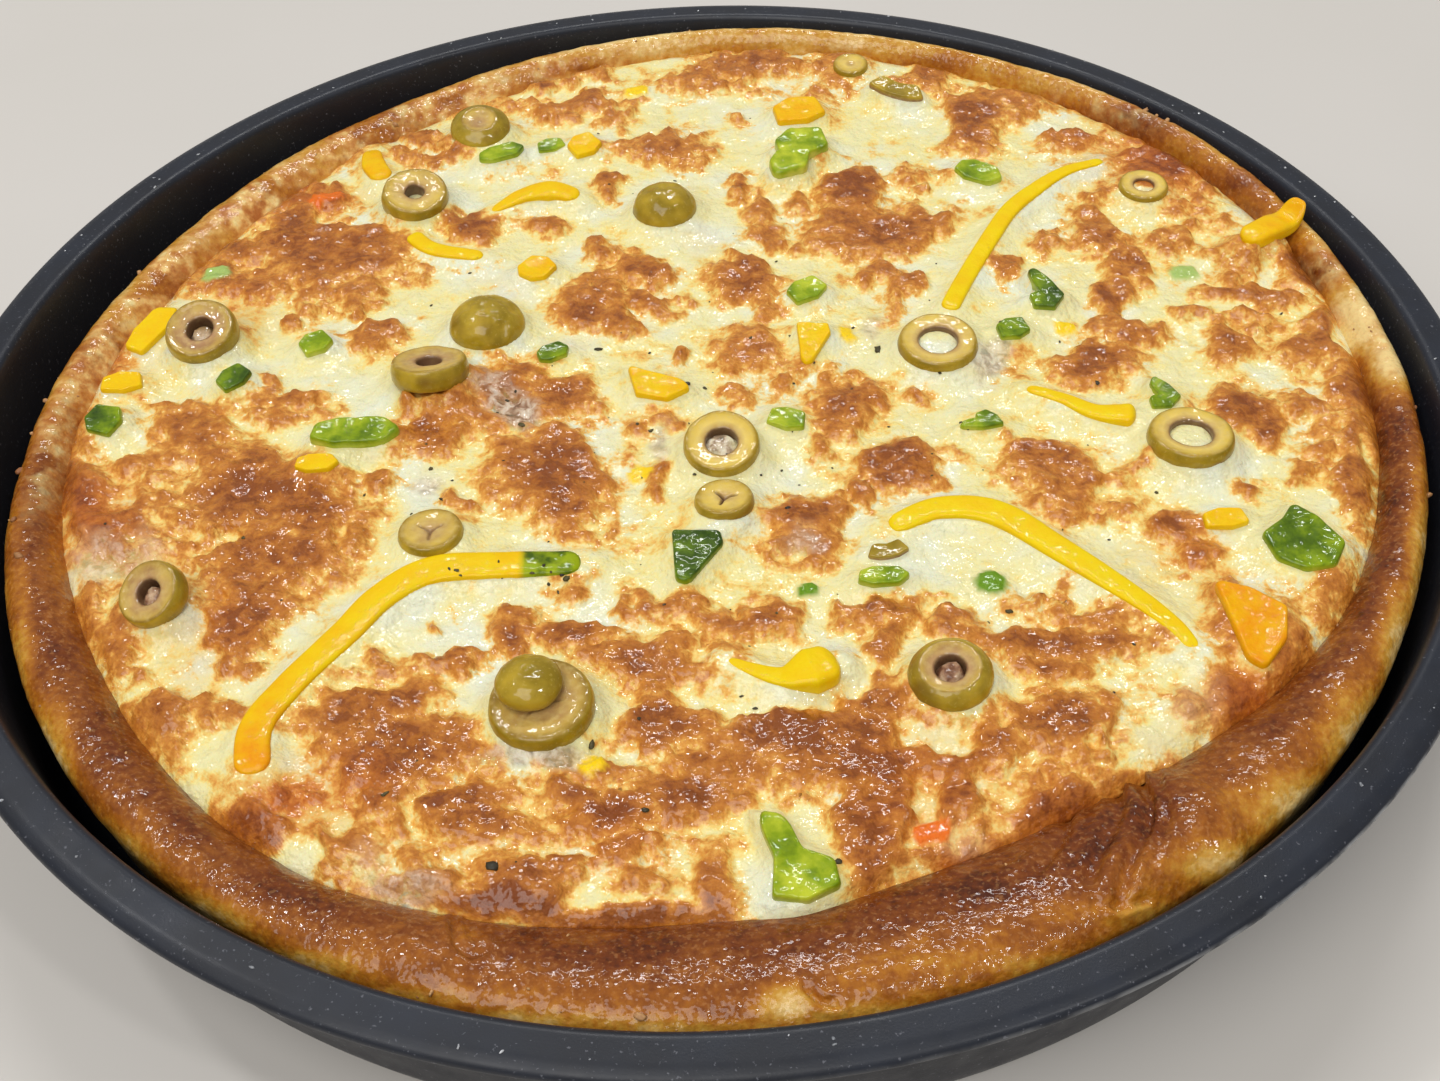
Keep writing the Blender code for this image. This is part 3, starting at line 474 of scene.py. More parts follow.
crust_angles = np.linspace(0, 2 * math.pi, CRUST_STEPS, endpoint=False)
crust_line = soft_line(crust_sections(crust_angles)[:, ::-1], CRUST_FINE, 2.6)
row_share = np.linspace(0, 1, CRUST_ROWS)
row_places = np.interp(row_share, (0, 0.03, 0.84, 0.96, 1), (0, 0.385, 0.475, 0.56, 1))
picked = np.round(row_places * (CRUST_FINE - 1)).astype(int)
crust_line = crust_line[:, picked].transpose(1, 0, 2)
crust_points = np.stack((
    crust_line[..., 0] * np.cos(crust_angles), crust_line[..., 0] * np.sin(crust_angles), crust_line[..., 1],
), axis=-1)
rim_outer, rim_inner = around(CRUST_RADIUS, crust_angles), around(CHEESE_RADIUS, crust_angles)
rim_middle = rim_outer * RIM_HEART_SHARE
from_middle = crust_points - np.stack((
    rim_middle * np.cos(crust_angles), rim_middle * np.sin(crust_angles), 0 * crust_angles + RIM_HEART_HEIGHT,
), axis=-1)
outwards = from_middle / np.linalg.norm(from_middle, axis=-1, keepdims=True)
rim_only = np.clip((crust_points[..., 2] - RIM_HEART_HEIGHT) / 3.0, 0, 1) * (crust_line[..., 0] > RIM_REACH)
crust_pixels = photo_pixels(crust_points)
relief = 0.45 * cloud(crust_points, 26.0, 3, 2) + 0.22 * cloud(crust_points, 7.0, 5, 3)
relief += 0.13 * cloud(crust_points, 2.0, 8, 2)
for route, half_width, depth in CRUST_CREASES:
    away = route_distance(route, crust_pixels) / half_width
    relief += depth * (0.55 * np.exp(-(away - 1.9) ** 2) - np.exp(-away ** 2))
relief += ovals(CRUST_LUMPS, crust_points[..., 0], crust_points[..., 1])
inner_wall_room = np.clip((MOUTH_RADIUS - 0.9 - crust_line[..., 0]) / 1.5, 0, 1)
swell = np.minimum(relief, 0.1 + relief * inner_wall_room) * rim_only
crust_points = crust_points + outwards * swell[..., None]
rim_place = np.clip((rim_outer - crust_line[..., 0]) / (rim_outer - rim_inner), 0, 1)
crust = surface("crust_baked", crust_points, attributes={
    "across_rim": rim_place,
    "height": crust_points[..., 2],
    "dark": patches(RIM_DARK, crust_pixels, 0.7),
    "pale": patches(RIM_PALE, crust_pixels, 0.6),
    "film": patches(FILMED, crust_pixels, 0.5) * np.clip((rim_place - 0.16) / 0.2, 0, 1),
})
dough, tree, shader = finish(
    "baked_dough", Roughness=0.5, Coat_Weight=0.7, Coat_Roughness=0.11, Specular_IOR_Level=0.1,
    Subsurface_Weight=0.06, Subsurface_Radius=(0.004, 0.002, 0.001), Subsurface_Scale=0.5,
)
across = value_of(tree, "across_rim")
toast = ramp_value(tree, across, (
    (0.0, 0.48), (0.06, 0.46), (0.16, 0.40), (0.30, 0.36),
    (0.42, 0.31), (0.52, 0.21), (0.8, 0.17), (0.95, 0.10),
))
low_side = steps_between(tree, value_of(tree, "height"), 35.0, 26.0, 0.0, 0.25)
toast = sums(tree, toast, low_side)
toast = sums(tree, toast, steps_between(tree, grain(tree, 100, 4), 0.3, 0.7, -0.12, 0.12))
toast = sums(tree, toast, steps_between(tree, grain(tree, 650, 3), 0.3, 0.7, -0.09, 0.12))
toast = sums(tree, toast, sums(tree, value_of(tree, "dark"), 0.12, "MULTIPLY"), "SUBTRACT")
toast = sums(tree, toast, sums(tree, value_of(tree, "pale"), 0.5, "MULTIPLY"))
skin_colour = ramp(tree, toast, (
    (0.0, (78, 30, 2)), (0.14, (114, 53, 8)), (0.26, (133, 71, 17)), (0.40, (154, 88, 22)),
    (0.55, (178, 112, 28)), (0.75, (202, 150, 56)), (1.0, (236, 206, 138)),
))
pores = steps_between(tree, grain(tree, 1100, 2), 0.56, 0.66)
skin_colour = blend(tree, sums(tree, pores, 0.22, "MULTIPLY"), skin_colour, paint(206, 148, 88))
film_colour = ramp(tree, grain(tree, 300, 4), (
    (0.34, (176, 106, 46)), (0.46, (208, 150, 80)), (0.56, (232, 190, 116)), (0.68, (240, 222, 156)),
))
film = sums(tree, value_of(tree, "film"), steps_between(tree, grain(tree, 130, 4), 0.40, 0.54), "MULTIPLY")
skin_colour = blend(tree, film, skin_colour, film_colour)
tree.links.new(skin_colour, shader.inputs["Base Color"])
tree.links.new(steps_between(tree, grain(tree, 160, 3), 0.35, 0.65, 0.40, 0.58), shader.inputs["Roughness"])
bumps(tree, shader, (grain(tree, 900, 3), 0.0005, 0.6), (grain(tree, 320, 3), 0.0007, 0.4))
coat_bumps(tree, shader, (grain(tree, 700, 1), 0.0004, 0.9), (grain(tree, 280, 1), 0.0006, 0.6))
dress(crust, dough, "baked_dough", "crust")

# The cheese
# Grated mozzarella over the filling, melted to a smooth cream sheet and browned in high blistered patches.
# It is a fine sheet over the crust's middle, drawn up round every topping that it holds.
CHEESE_LEVEL, CHEESE_FOOT = 33.2, 26.4
CHEESE_CELLS = 300
CHEESE_SPREAD = 1.6
# Where the cheese melted farther up the crust, round the green piece at the near side: bearing, half width
# and reach, in degrees and millimetres.
MELTED_OVER = (275.0, 5.0, 3.6)
MELT_REACH, SUNK_SHARE, STRIP_SUNK, MOST_RISE = 2.6, 0.55, 0.62, 3.4
MEAN_CREST, BLISTER_RISE, LUMP_RISE, BIT_RISE, EDGE_BAND, FOOT_INSET = 36.0, 2.0, 0.9, 0.7, 6.1, 6.5
# Browned patches by pixel: across, down, half width, half height, strength.
BROWNED = (
    (542, 78, 16, 10, 0.8), (592, 76, 30, 9, 0.8), (565, 112, 60, 13, 0.8), (630, 118, 16, 22, 0.6),
    (664, 147, 48, 18, 0.9), (700, 80, 40, 12, 0.8), (748, 64, 46, 18, 1.0), (459, 115, 14, 10, 0.8),
    (425, 138, 18, 6, 0.8), (395, 112, 12, 10, 0.9), (432, 158, 34, 9, 0.8), (470, 226, 30, 13, 1.0),
    (546, 225, 28, 13, 0.7), (604, 182, 15, 14, 0.8), (335, 252, 74, 36, 1.0), (300, 232, 34, 24, 1.0),
    (390, 262, 30, 22, 0.7), (252, 280, 38, 17, 0.8), (330, 285, 40, 14, 0.7), (372, 340, 27, 18, 0.8),
    (294, 324, 12, 9, 0.8), (643, 268, 32, 13, 1.0), (585, 302, 34, 22, 1.0), (650, 305, 26, 18, 0.9),
    (618, 330, 20, 12, 0.9), (680, 298, 14, 8, 0.7), (677, 354, 12, 9, 0.7), (275, 381, 12, 8, 0.7),
    (294, 400, 44, 11, 0.7), (519, 381, 30, 16, 0.8), (427, 430, 34, 18, 1.0), (470, 410, 40, 22, 0.7),
    (551, 470, 58, 44, 1.05), (560, 510, 40, 22, 0.9), (459, 502, 20, 7, 0.6), (661, 478, 11, 18, 0.7),
    (629, 413, 50, 6, 0.45), (197, 430, 40, 24, 0.9), (150, 450, 50, 26, 0.7), (230, 458, 50, 20, 0.8),
    (262, 492, 78, 34, 1.0), (300, 515, 66, 28, 0.9), (70, 488, 42, 34, 0.8), (120, 530, 50, 26, 0.7),
    (160, 500, 40, 30, 0.6), (275, 560, 66, 30, 1.0), (239, 620, 34, 28, 1.0), (734, 119, 14, 7, 0.6),
    (922, 78, 32, 16, 0.8), (970, 118, 40, 28, 0.95), (1010, 100, 50, 14, 0.6), (1069, 142, 40, 9, 0.6),
    (853, 190, 30, 28, 1.05), (871, 230, 56, 24, 1.0), (922, 216, 30, 24, 0.8), (761, 207, 12, 18, 0.6),
    (793, 250, 12, 7, 0.7), (743, 277, 38, 24, 1.0), (765, 303, 24, 10, 0.6), (876, 275, 36, 11, 0.7),
    (904, 285, 18, 14, 0.9), (894, 172, 22, 10, 0.6), (748, 349, 38, 24, 0.6), (734, 395, 30, 8, 0.6),
    (849, 399, 40, 26, 1.0), (853, 424, 32, 22, 0.9), (917, 399, 20, 12, 0.6), (1005, 266, 18, 14, 0.9),
    (1036, 243, 34, 9, 0.7), (1083, 216, 42, 18, 0.8), (1100, 240, 30, 12, 0.7), (1124, 262, 22, 16, 1.0),
    (1110, 298, 15, 24, 0.9), (1119, 331, 58, 11, 0.8), (1101, 364, 38, 22, 0.95), (1056, 364, 20, 12, 0.6),
    (1243, 294, 50, 10, 0.9), (1200, 310, 30, 8, 0.7), (1317, 266, 34, 18, 1.0), (1285, 300, 30, 10, 0.7),
    (1248, 323, 40, 11, 0.6), (1308, 350, 30, 24, 0.7), (1240, 408, 36, 30, 1.05), (1266, 438, 16, 13, 0.9),
    (1303, 404, 24, 18, 0.7), (1363, 384, 34, 26, 0.95), (1190, 210, 40, 14, 0.6), (1170, 240, 30, 16, 0.5),
    (885, 466, 46, 27, 1.1), (915, 480, 26, 16, 0.8), (1051, 462, 46, 22, 1.0), (1075, 488, 60, 22, 0.9),
    (1110, 505, 40, 20, 0.6), (1179, 530, 22, 15, 0.8), (1248, 487, 14, 9, 0.7), (1308, 470, 14, 12, 0.6),
    (803, 514, 40, 17, 1.0), (805, 545, 34, 26, 0.8), (152, 714, 42, 22, 0.8), (211, 712, 13, 22, 0.7),
    (381, 655, 11, 9, 0.7), (427, 632, 8, 6, 0.5), (450, 664, 44, 13, 1.0), (390, 692, 50, 24, 1.0),
    (349, 724, 44, 24, 1.0), (405, 752, 74, 28, 1.0), (459, 745, 46, 26, 0.9), (519, 616, 24, 10, 0.9),
    (574, 632, 52, 12, 1.0), (634, 664, 48, 22, 1.0), (680, 604, 30, 11, 0.7), (690, 640, 40, 12, 0.6),
    (657, 722, 58, 28, 1.0), (294, 797, 40, 20, 0.5), (482, 795, 50, 18, 0.9), (574, 795, 44, 18, 0.8),
    (615, 815, 56, 26, 0.95), (680, 797, 50, 24, 1.0), (505, 893, 54, 12, 1.0), (643, 875, 34, 11, 0.8),
    (386, 802, 24, 20, 0.7), (441, 800, 20, 16, 0.8), (540, 840, 60, 14, 0.5), (748, 622, 55, 20, 1.0),
    (720, 660, 30, 9, 0.5), (876, 613, 48, 17, 0.8), (950, 623, 32, 11, 0.8), (1041, 641, 74, 18, 1.0),
    (1110, 641, 46, 17, 0.9), (1051, 668, 40, 14, 0.8), (1041, 606, 8, 14, 0.7), (1197, 558, 28, 12, 0.7),
    (876, 696, 38, 22, 0.9), (800, 742, 118, 30, 1.05), (812, 722, 96, 16, 1.0), (858, 770, 88, 24, 1.05),
    (720, 770, 60, 30, 0.9), (931, 724, 20, 9, 0.7), (1060, 726, 54, 28, 1.0), (995, 750, 44, 20, 0.8),
    (1096, 747, 20, 22, 0.8), (959, 802, 38, 17, 0.8), (858, 836, 44, 56, 0.95), (890, 800, 50, 30, 0.9),
    (700, 850, 40, 20, 0.5), (1060, 790, 60, 34, 0.7), (1010, 850, 50, 24, 0.7), (1240, 690, 40, 26, 0.6),
    (1290, 640, 24, 44, 0.6), (1100, 812, 40, 34, 0.55), (1140, 180, 30, 26, 0.7), (1170, 160, 40, 20, 0.9),
    (240, 320, 20, 26, 0.5), (105, 350, 26, 24, 0.7), (60, 430, 30, 26, 0.7), (200, 275, 40, 16, 0.6),
    (330, 150, 50, 12, 0.5), (270, 200, 40, 22, 0.6), (1385, 430, 30, 20, 0.7), (250, 590, 50, 30, 0.8),
    (90, 620, 20, 30, 0.6), (420, 846, 40, 20, 0.5), (925, 860, 30, 30, 0.6), (245, 820, 44, 18, 0.8),
    (350, 838, 50, 26, 0.8), (480, 824, 54, 18, 0.9), (530, 868, 60, 24, 0.9), (440, 876, 40, 16, 0.6),
    (640, 850, 44, 20, 0.9), (650, 884, 60, 12, 0.7), (722, 884, 36, 36, 0.9), (735, 845, 26, 26, 0.8),
    (1140, 735, 30, 40, 0.5), (1185, 712, 34, 34, 0.5), (1085, 612, 70, 12, 0.7), (1325, 600, 30, 30, 0.6),
    (1352, 460, 16, 60, 0.8), (560, 400, 40, 20, 0.9), (742, 405, 20, 12, 0.7), (790, 380, 16, 28, 0.7),
    (622, 605, 30, 12, 0.8), (700, 680, 30, 16, 0.8), (882, 645, 22, 24, 0.8), (512, 640, 20, 20, 0.9),
    (470, 675, 26, 14, 0.8), (618, 690, 18, 14, 0.8), (600, 775, 54, 12, 0.8), (122, 640, 18, 40, 0.7),
    (160, 745, 36, 24, 0.7), (240, 248, 26, 14, 0.8), (230, 666, 20, 12, 0.8), (382, 488, 20, 16, 0.7),
    (354, 538, 22, 20, 0.8), (280, 415, 50, 12, 0.6), (345, 298, 44, 18, 0.7), (830, 60, 30, 40, 0.6),
    (625, 914, 80, 12, 1.1), (640, 862, 50, 12, 0.9), (95, 445, 16, 14, 0.7), (660, 425, 40, 9, 0.7),
    (575, 590, 24, 12, 0.7), (490, 665, 20, 14, 0.8), (492, 760, 16, 20, 0.8), (1162, 755, 26, 14, 0.7),
    (1126, 740, 16, 20, 0.7), (1105, 520, 16, 10, 0.7), (1322, 440, 20, 30, 0.6), (722, 652, 20, 14, 0.7),
    (802, 800, 34, 12, 0.9), (918, 180, 26, 14, 0.7), (1218, 640, 20, 50, 0.65), (1240, 250, 40, 16, 0.5),
    (1320, 320, 24, 20, 0.7), (890, 305, 16, 30, 0.6), (330, 190, 18, 12, 0.8), (220, 270, 18, 12, 0.8),
    (612, 682, 16, 14, 0.9), (478, 678, 20, 12, 0.8), (832, 790, 20, 12, 0.7), (1142, 465, 16, 12, 0.8),
    (1230, 342, 26, 22, 0.8), (1326, 336, 20, 20, 0.9), (1172, 750, 26, 18, 0.8), (232, 710, 24, 14, 0.6),
    (130, 680, 20, 14, 0.6), (400, 822, 14, 14, 0.8), (502, 886, 14, 10, 0.8), (665, 864, 26, 12, 0.7),
    (770, 236, 18, 14, 0.8), (952, 452, 24, 12, 0.5), (1060, 517, 26, 10, 0.7), (890, 380, 30, 12, 0.6),
    (1010, 360, 22, 12, 0.4), (120, 495, 18, 14, 0.5), (160, 402, 20, 10, 0.6), (596, 258, 16, 12, 0.8),
    (736, 190, 12, 12, 0.8), (800, 205, 14, 12, 0.6), (816, 452, 12, 20, 0.6), (650, 602, 14, 12, 0.7),
    (922, 602, 20, 10, 0.7), (1066, 590, 12, 18, 0.6), (1200, 192, 22, 10, 0.6), (1238, 270, 26, 12, 0.5),
    (500, 397, 14, 14, 0.8), (745, 880, 16, 22, 0.8), (860, 497, 14, 12, 1.0), (1100, 524, 14, 8, 0.8),
)
# Gaps in the browning where the cheese stayed cream, by pixel.
CREAM = (
    (600, 700, 34, 30, 1.0), (500, 690, 30, 24, 1.0), (795, 862, 58, 56, 1.0), (660, 860, 40, 20, 0.7),
    (1150, 740, 50, 24, 0.8), (950, 650, 50, 12, 0.6), (720, 450, 60, 44, 0.5), (430, 205, 50, 30, 0.6),
    (935, 350, 60, 40, 0.7), (1187, 447, 54, 36, 0.6), (700, 690, 30, 14, 0.7), (135, 440, 30, 14, 0.8),
    (568, 285, 22, 20, 0.7), (658, 318, 20, 12, 0.6), (352, 222, 34, 8, 0.5), (1058, 212, 30, 12, 0.7),
    (1132, 214, 34, 14, 0.7), (1112, 495, 20, 8, 0.6), (930, 738, 36, 16, 0.7), (862, 445, 26, 16, 0.5),
    (300, 850, 22, 14, 0.7), (520, 735, 44, 30, 0.8), (370, 685, 46, 9, 0.7), (625, 740, 14, 26, 0.8),
    (770, 708, 50, 8, 0.8), (130, 700, 26, 22, 0.5), (865, 595, 20, 8, 0.7), (850, 680, 16, 12, 0.7),
    (725, 615, 22, 12, 0.8), (605, 445, 18, 18, 0.6), (920, 800, 14, 40, 0.7), (1366, 316, 24, 30, 1.1),
    (570, 122, 34, 10, 0.6), (645, 122, 22, 14, 0.5), (620, 172, 16, 10, 0.6), (932, 120, 18, 16, 0.7),
    (932, 196, 20, 16, 0.7), (835, 155, 16, 14, 0.8), (780, 265, 20, 12, 0.6), (740, 250, 16, 8, 0.6),
    (1012, 240, 22, 10, 0.6), (1186, 258, 14, 12, 0.6), (656, 316, 24, 12, 0.6), (388, 316, 22, 14, 0.7),
    (242, 318, 12, 16, 0.7), (1120, 498, 22, 12, 0.5), (1255, 386, 16, 18, 0.6), (1222, 305, 26, 10, 0.6),
    (1184, 335, 18, 12, 0.5), (602, 606, 20, 18, 0.9), (822, 612, 14, 16, 0.6), (432, 648, 44, 10, 0.8),
    (214, 662, 14, 14, 0.8), (1212, 655, 16, 30, 0.2),
    (552, 856, 44, 8, 0.7), (600, 892, 30, 20, 0.6), (268, 850, 20, 12, 0.6), (334, 822, 14, 16, 0.7),
    (152, 752, 20, 26, 0.6), (184, 792, 18, 16, 0.6), (60, 520, 10, 26, 0.5), (790, 555, 18, 12, 0.7),
    (840, 465, 10, 14, 0.6), (850, 520, 16, 10, 0.6), (350, 470, 30, 8, 0.5), (925, 862, 24, 14, 0.4),
)
# Orange oil that soaked into the cheese, dark caught spots, and pale lumps of the filling, by pixel.
OILY = (
    (294, 797, 50, 26, 0.9), (350, 780, 40, 20, 0.6), (1262, 690, 44, 26, 0.9), (1225, 600, 26, 20, 0.5),
    (90, 520, 40, 40, 0.7), (150, 570, 40, 26, 0.4), (1060, 830, 70, 40, 0.5), (930, 800, 60, 60, 0.4),
    (312, 197, 40, 10, 0.8), (1150, 150, 60, 40, 0.7), (950, 855, 24, 14, 0.9), (620, 840, 60, 30, 0.3),
    (190, 640, 40, 50, 0.35), (1180, 560, 40, 20, 0.35), (230, 310, 40, 30, 0.4), (110, 360, 40, 30, 0.5),
)
SCORCHED = (
    (505, 893, 44, 9, 0.9), (520, 400, 10, 20, 0.6), (441, 798, 14, 9, 0.8), (580, 796, 12, 7, 0.8),
    (885, 452, 26, 10, 0.5), (858, 188, 16, 14, 0.4), (612, 812, 20, 12, 0.6), (680, 800, 24, 14, 0.5),
    (470, 222, 16, 5, 0.7), (540, 470, 26, 20, 0.35), (800, 735, 60, 14, 0.4), (1240, 400, 16, 14, 0.4),
    (1000, 860, 40, 14, 0.5), (230, 500, 30, 16, 0.3), (1317, 262, 18, 8, 0.5), (1372, 384, 16, 14, 0.5),
)
LUMPS = (
    (96, 572, 15, 13, 1.0), (150, 556, 12, 22, 1.0), (74, 545, 16, 12, 0.6), (1150, 738, 26, 14, 0.8),
    (1180, 720, 20, 18, 0.8), (1190, 690, 16, 14, 0.6), (560, 765, 20, 9, 0.8), (700, 238, 22, 14, 0.7),
    (520, 412, 10, 16, 0.8), (500, 290, 30, 18, 0.5), (985, 366, 20, 22, 0.6), (660, 440, 12, 14, 0.5),
    (375, 870, 16, 26, 0.7), (425, 885, 20, 14, 0.6), (960, 834, 24, 12, 0.6), (805, 540, 14, 14, 0.5),
    (90, 545, 14, 9, 0.7), (1210, 700, 14, 22, 0.5), (870, 328, 16, 12, 0.5), (430, 485, 14, 14, 0.5),
)
# Bits of pepper that baked into the sheet: place, length, width, turn, and tone from yellow over orange and
# pale green to green.
BAKED_BITS = (
    (-14, 124, 6, 5, 0, 0.0), (33, 18, 3, 5, 10, 0.0), (-13, -24, 4.5, 4, 20, 0.0),
    (81, 16, 4.5, 4, -10, 0.0), (-21, -99, 4.5, 4, 30, 0.0), (36, -115, 6, 4, 15, 0.33),
    (-91, 80, 8, 4, 15, 0.33), (111, 34, 6, 5, 0, 0.66), (-113, 51, 7, 5, 20, 0.66),
    (19, -58.5, 3.6, 3, 0, 1.0), (54, -59, 5, 6, 70, 1.0),
)
# Grey bits of the filling, perhaps chicken and mushroom, that show through the cheese, by pixel.
MEAT = (
    (720, 456, 19, 15, 1.0), (516, 410, 20, 18, 1.0), (500, 388, 24, 8, 0.7), (545, 764, 44, 10, 0.8),
    (500, 760, 22, 8, 0.6), (990, 360, 16, 20, 0.7), (875, 330, 12, 12, 0.5), (110, 560, 34, 16, 0.5),
    (660, 445, 8, 12, 0.6), (430, 486, 16, 12, 0.6), (405, 885, 30, 12, 0.5), (800, 545, 20, 12, 0.4),
)
# The pepper strips' routes, and their width, thickness and taper, as their solids have them.
STRIP_ROUTES = {
    "yellow_strip_01": (
        (-24, -50), (-38, -50), (-53, -51), (-62, -57), (-68, -66), (-77, -79), (-81, -88), (-80, -98),
    ),
    "yellow_strip_02": ((36, -44), (46, -40), (57, -42), (68, -53), (79, -65), (85, -73), (88, -80)),
    "yellow_strip_03": ((101, 78), (92, 75), (84, 69), (76, 61), (70, 51), (63, 38), (56, 23)),
    "yellow_strip_04": ((-82, 102), (-80.5, 94), (-77, 87)),
    "yellow_strip_05": ((-68, 62), (-62, 56), (-50, 52)),
    "yellow_strip_06": ((-49, 70), (-41, 76), (-34, 77), (-28, 74)),
    "yellow_strip_07": ((69, -5), (76, -9), (82, -14), (90, -16)),
    "yellow_strip_08": ((3, -77), (8, -80), (13, -82), (18, -81), (23, -79)),
    "yellow_strip_09": ((125, 38), (132.5, 42.5), (140, 47.5)),
}
STRIP_SIZES = {
    "yellow_strip_01": (6.6, 2.6, (0.9, 1.0, 1.05, 1.0, 0.95, 0.9, 0.95, 1.0)),
    "yellow_strip_02": (6.0, 2.6, (0.8, 1.0, 1.1, 1.0, 0.9, 0.7, 0.45)),
    "yellow_strip_03": (4.4, 2.4, (0.6, 0.8, 1.0, 1.0, 1.0, 1.0, 1.0)),
    "yellow_strip_04": (5.6, 2.6, (0.8, 1.1, 1.0)),
    "yellow_strip_05": (4.4, 2.4, (1.0, 1.0, 0.8)),
    "yellow_strip_06": (4.8, 2.4, (0.5, 1.0, 1.4, 1.0)),
    "yellow_strip_07": (4.0, 2.4, (0.6, 0.8, 1.1, 1.6)),
    "yellow_strip_08": (4.8, 2.6, (0.3, 0.6, 0.9, 1.9, 1.6)),
    "yellow_strip_09": (6.4, 3.6, (1.0, 1.1, 0.9)),
}


class Topping:
    """A topping as its solid lies: its middle, the direction that its flat side faces, its half thickness
    along that, and the reach of its outline at any bearing."""

    def __init__(self, name):
        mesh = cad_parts[name].data
        flat = np.empty(len(mesh.vertices) * 3)
        mesh.vertices.foreach_get("co", flat)
        self.name = name
        self.points = flat.reshape(-1, 3) / MM
        ends = np.empty(len(mesh.edges) * 2, int)
        mesh.edges.foreach_get("vertices", ends)
        self.edges = ends.reshape(-1, 2)
        low, high = self.points.min(axis=0), self.points.max(axis=0)
        self.middle = (low + high) / 2
        spread = self.points - self.points.mean(axis=0)
        facing = np.linalg.svd(spread, full_matrices=False)[2][2]
        facing = facing * np.sign(facing[2])
        self.facing = np.array((0.0, 0.0, 1.0)) if name.startswith("olive_end") else facing
        heights = (self.points - self.middle) @ self.facing
        self.middle = self.middle + self.facing * (heights.max() + heights.min()) / 2
        self.half_thickness = (heights.max() - heights.min()) / 2
        self.side = np.cross((0.0, 1.0, 0.0), self.facing)
        self.side = self.side / np.linalg.norm(self.side)
        self.ahead = np.cross(self.facing, self.side)
        if "dice" in name or "half" in name:
            self.middle = self.inner_middle()

    def inner_middle(self):
        """The place on the piece's middle plane whose nearest bit of outline is farthest."""
        middle, best, chosen = self.middle, 0.0, self.middle
        look = np.linspace(0, 2 * math.pi, 24, endpoint=False)
        for along, across in itertools.product(np.linspace(-4, 4, 9), repeat=2):
            self.middle = middle + along * self.side + across * self.ahead
            nearest = self.reach(look).min()
            if nearest > best:
                best, chosen = nearest, self.middle
        self.middle = middle
        return chosen

    def reach(self, bearing, flat=False):
        """How far the outline lies from the middle: the farthest crossing of a ray with the solid's edges."""
        axes = np.array(((1, 0, 0), (0, 1, 0))) if flat else np.stack((self.side, self.ahead))
        places = (self.points - self.middle) @ axes.T
        start, run = places[self.edges[:, 0]], places[self.edges[:, 1]] - places[self.edges[:, 0]]
        ray = np.stack((np.cos(bearing), np.sin(bearing)), axis=-1)[:, None, :]
        cross = ray[..., 0] * run[:, 1] - ray[..., 1] * run[:, 0]
        cross = np.where(np.abs(cross) < 1e-9, 1e-9, cross)
        along = (start[:, 0] * run[:, 1] - start[:, 1] * run[:, 0]) / cross
        share = (start[:, 0] * ray[..., 1] - start[:, 1] * ray[..., 0]) / cross
        return np.where((share >= -1e-6) & (share <= 1 + 1e-6), along, 0.0).max(axis=1)

    def underside(self, x, y):
        """Height of the plane under the piece at places seen from above."""
        across, ahead = x - self.middle[0], y - self.middle[1]
        slope = (self.facing[0] * across + self.facing[1] * ahead) / self.facing[2]
        return self.middle[2] - slope - self.half_thickness / self.facing[2]

    def route_heights(self, route):
        """The strip's mid height near each place of its route, as a close average of its solid's points."""
        away = np.linalg.norm(route[:, None, :] - self.points[None, :, :2], axis=-1)
        weight = np.exp(-(away / 2.5) ** 2)
        return (weight * self.points[:, 2]).sum(axis=1) / weight.sum(axis=1)


def smooth_route(places, count):
    """Evenly spaced points on a smooth cubic through a strip's places."""
    ends = [2 * np.asarray(places[0], float) - places[1], *np.asarray(places, float)]
    ends.append(2 * ends[-1] - ends[-2])
    shares = np.linspace(0, 1, 16, endpoint=False)[:, None]
    runs = [
        b + 0.5 * shares * (c - a + shares * (2 * a - 5 * b + 4 * c - d + shares * (3 * (b - c) + d - a)))
        for a, b, c, d in zip(ends, ends[1:], ends[2:], ends[3:])
    ]
    fine = np.concatenate(runs + [ends[-2][None]])
    walked = np.concatenate(([0.0], np.cumsum(np.linalg.norm(np.diff(fine, axis=0), axis=1))))
    marks = np.linspace(0, walked[-1], count)
    return np.stack((np.interp(marks, walked, fine[:, 0]), np.interp(marks, walked, fine[:, 1])), axis=1)


toppings = {name: Topping(name) for name in sorted(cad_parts) if name not in ("pan", "crust", "cheese")}
bearings = np.linspace(0, 2 * math.pi, 181)


def draw_up(height, x, y, topping):
    """Draws the cheese up round a topping: at its outline the sheet stands a little above its underside, and
    it falls back to its own height over a few millimetres."""
    if topping.name in STRIP_ROUTES:
        route = smooth_route(STRIP_ROUTES[topping.name], 24)
        width, thickness, _ = STRIP_SIZES[topping.name]
        places = np.stack((x, y), axis=-1)
        away = route_distance(route, places) - width * 0.45
        route_height = topping.route_heights(route)
        nearest = np.argmin(np.linalg.norm(places[..., None, :] - route, axis=-1), axis=-1)
        under = route_height[nearest] - thickness / 2
        sunk = STRIP_SUNK * thickness
    else:
        reach = topping.reach(bearings, flat=True)
        bearing = np.arctan2(y - topping.middle[1], x - topping.middle[0]) % (2 * math.pi)
        away = np.hypot(x - topping.middle[0], y - topping.middle[1]) - np.interp(bearing, bearings, reach)
        under = topping.underside(x, y)
        sunk = (0.25 if "end" in topping.name else SUNK_SHARE) * 2 * topping.half_thickness
    share = np.exp(-(np.clip(away, 0, None) / MELT_REACH) ** 1.4)
    target = np.minimum(under + sunk, height + MOST_RISE)
    return height * (1 - share) + target * share


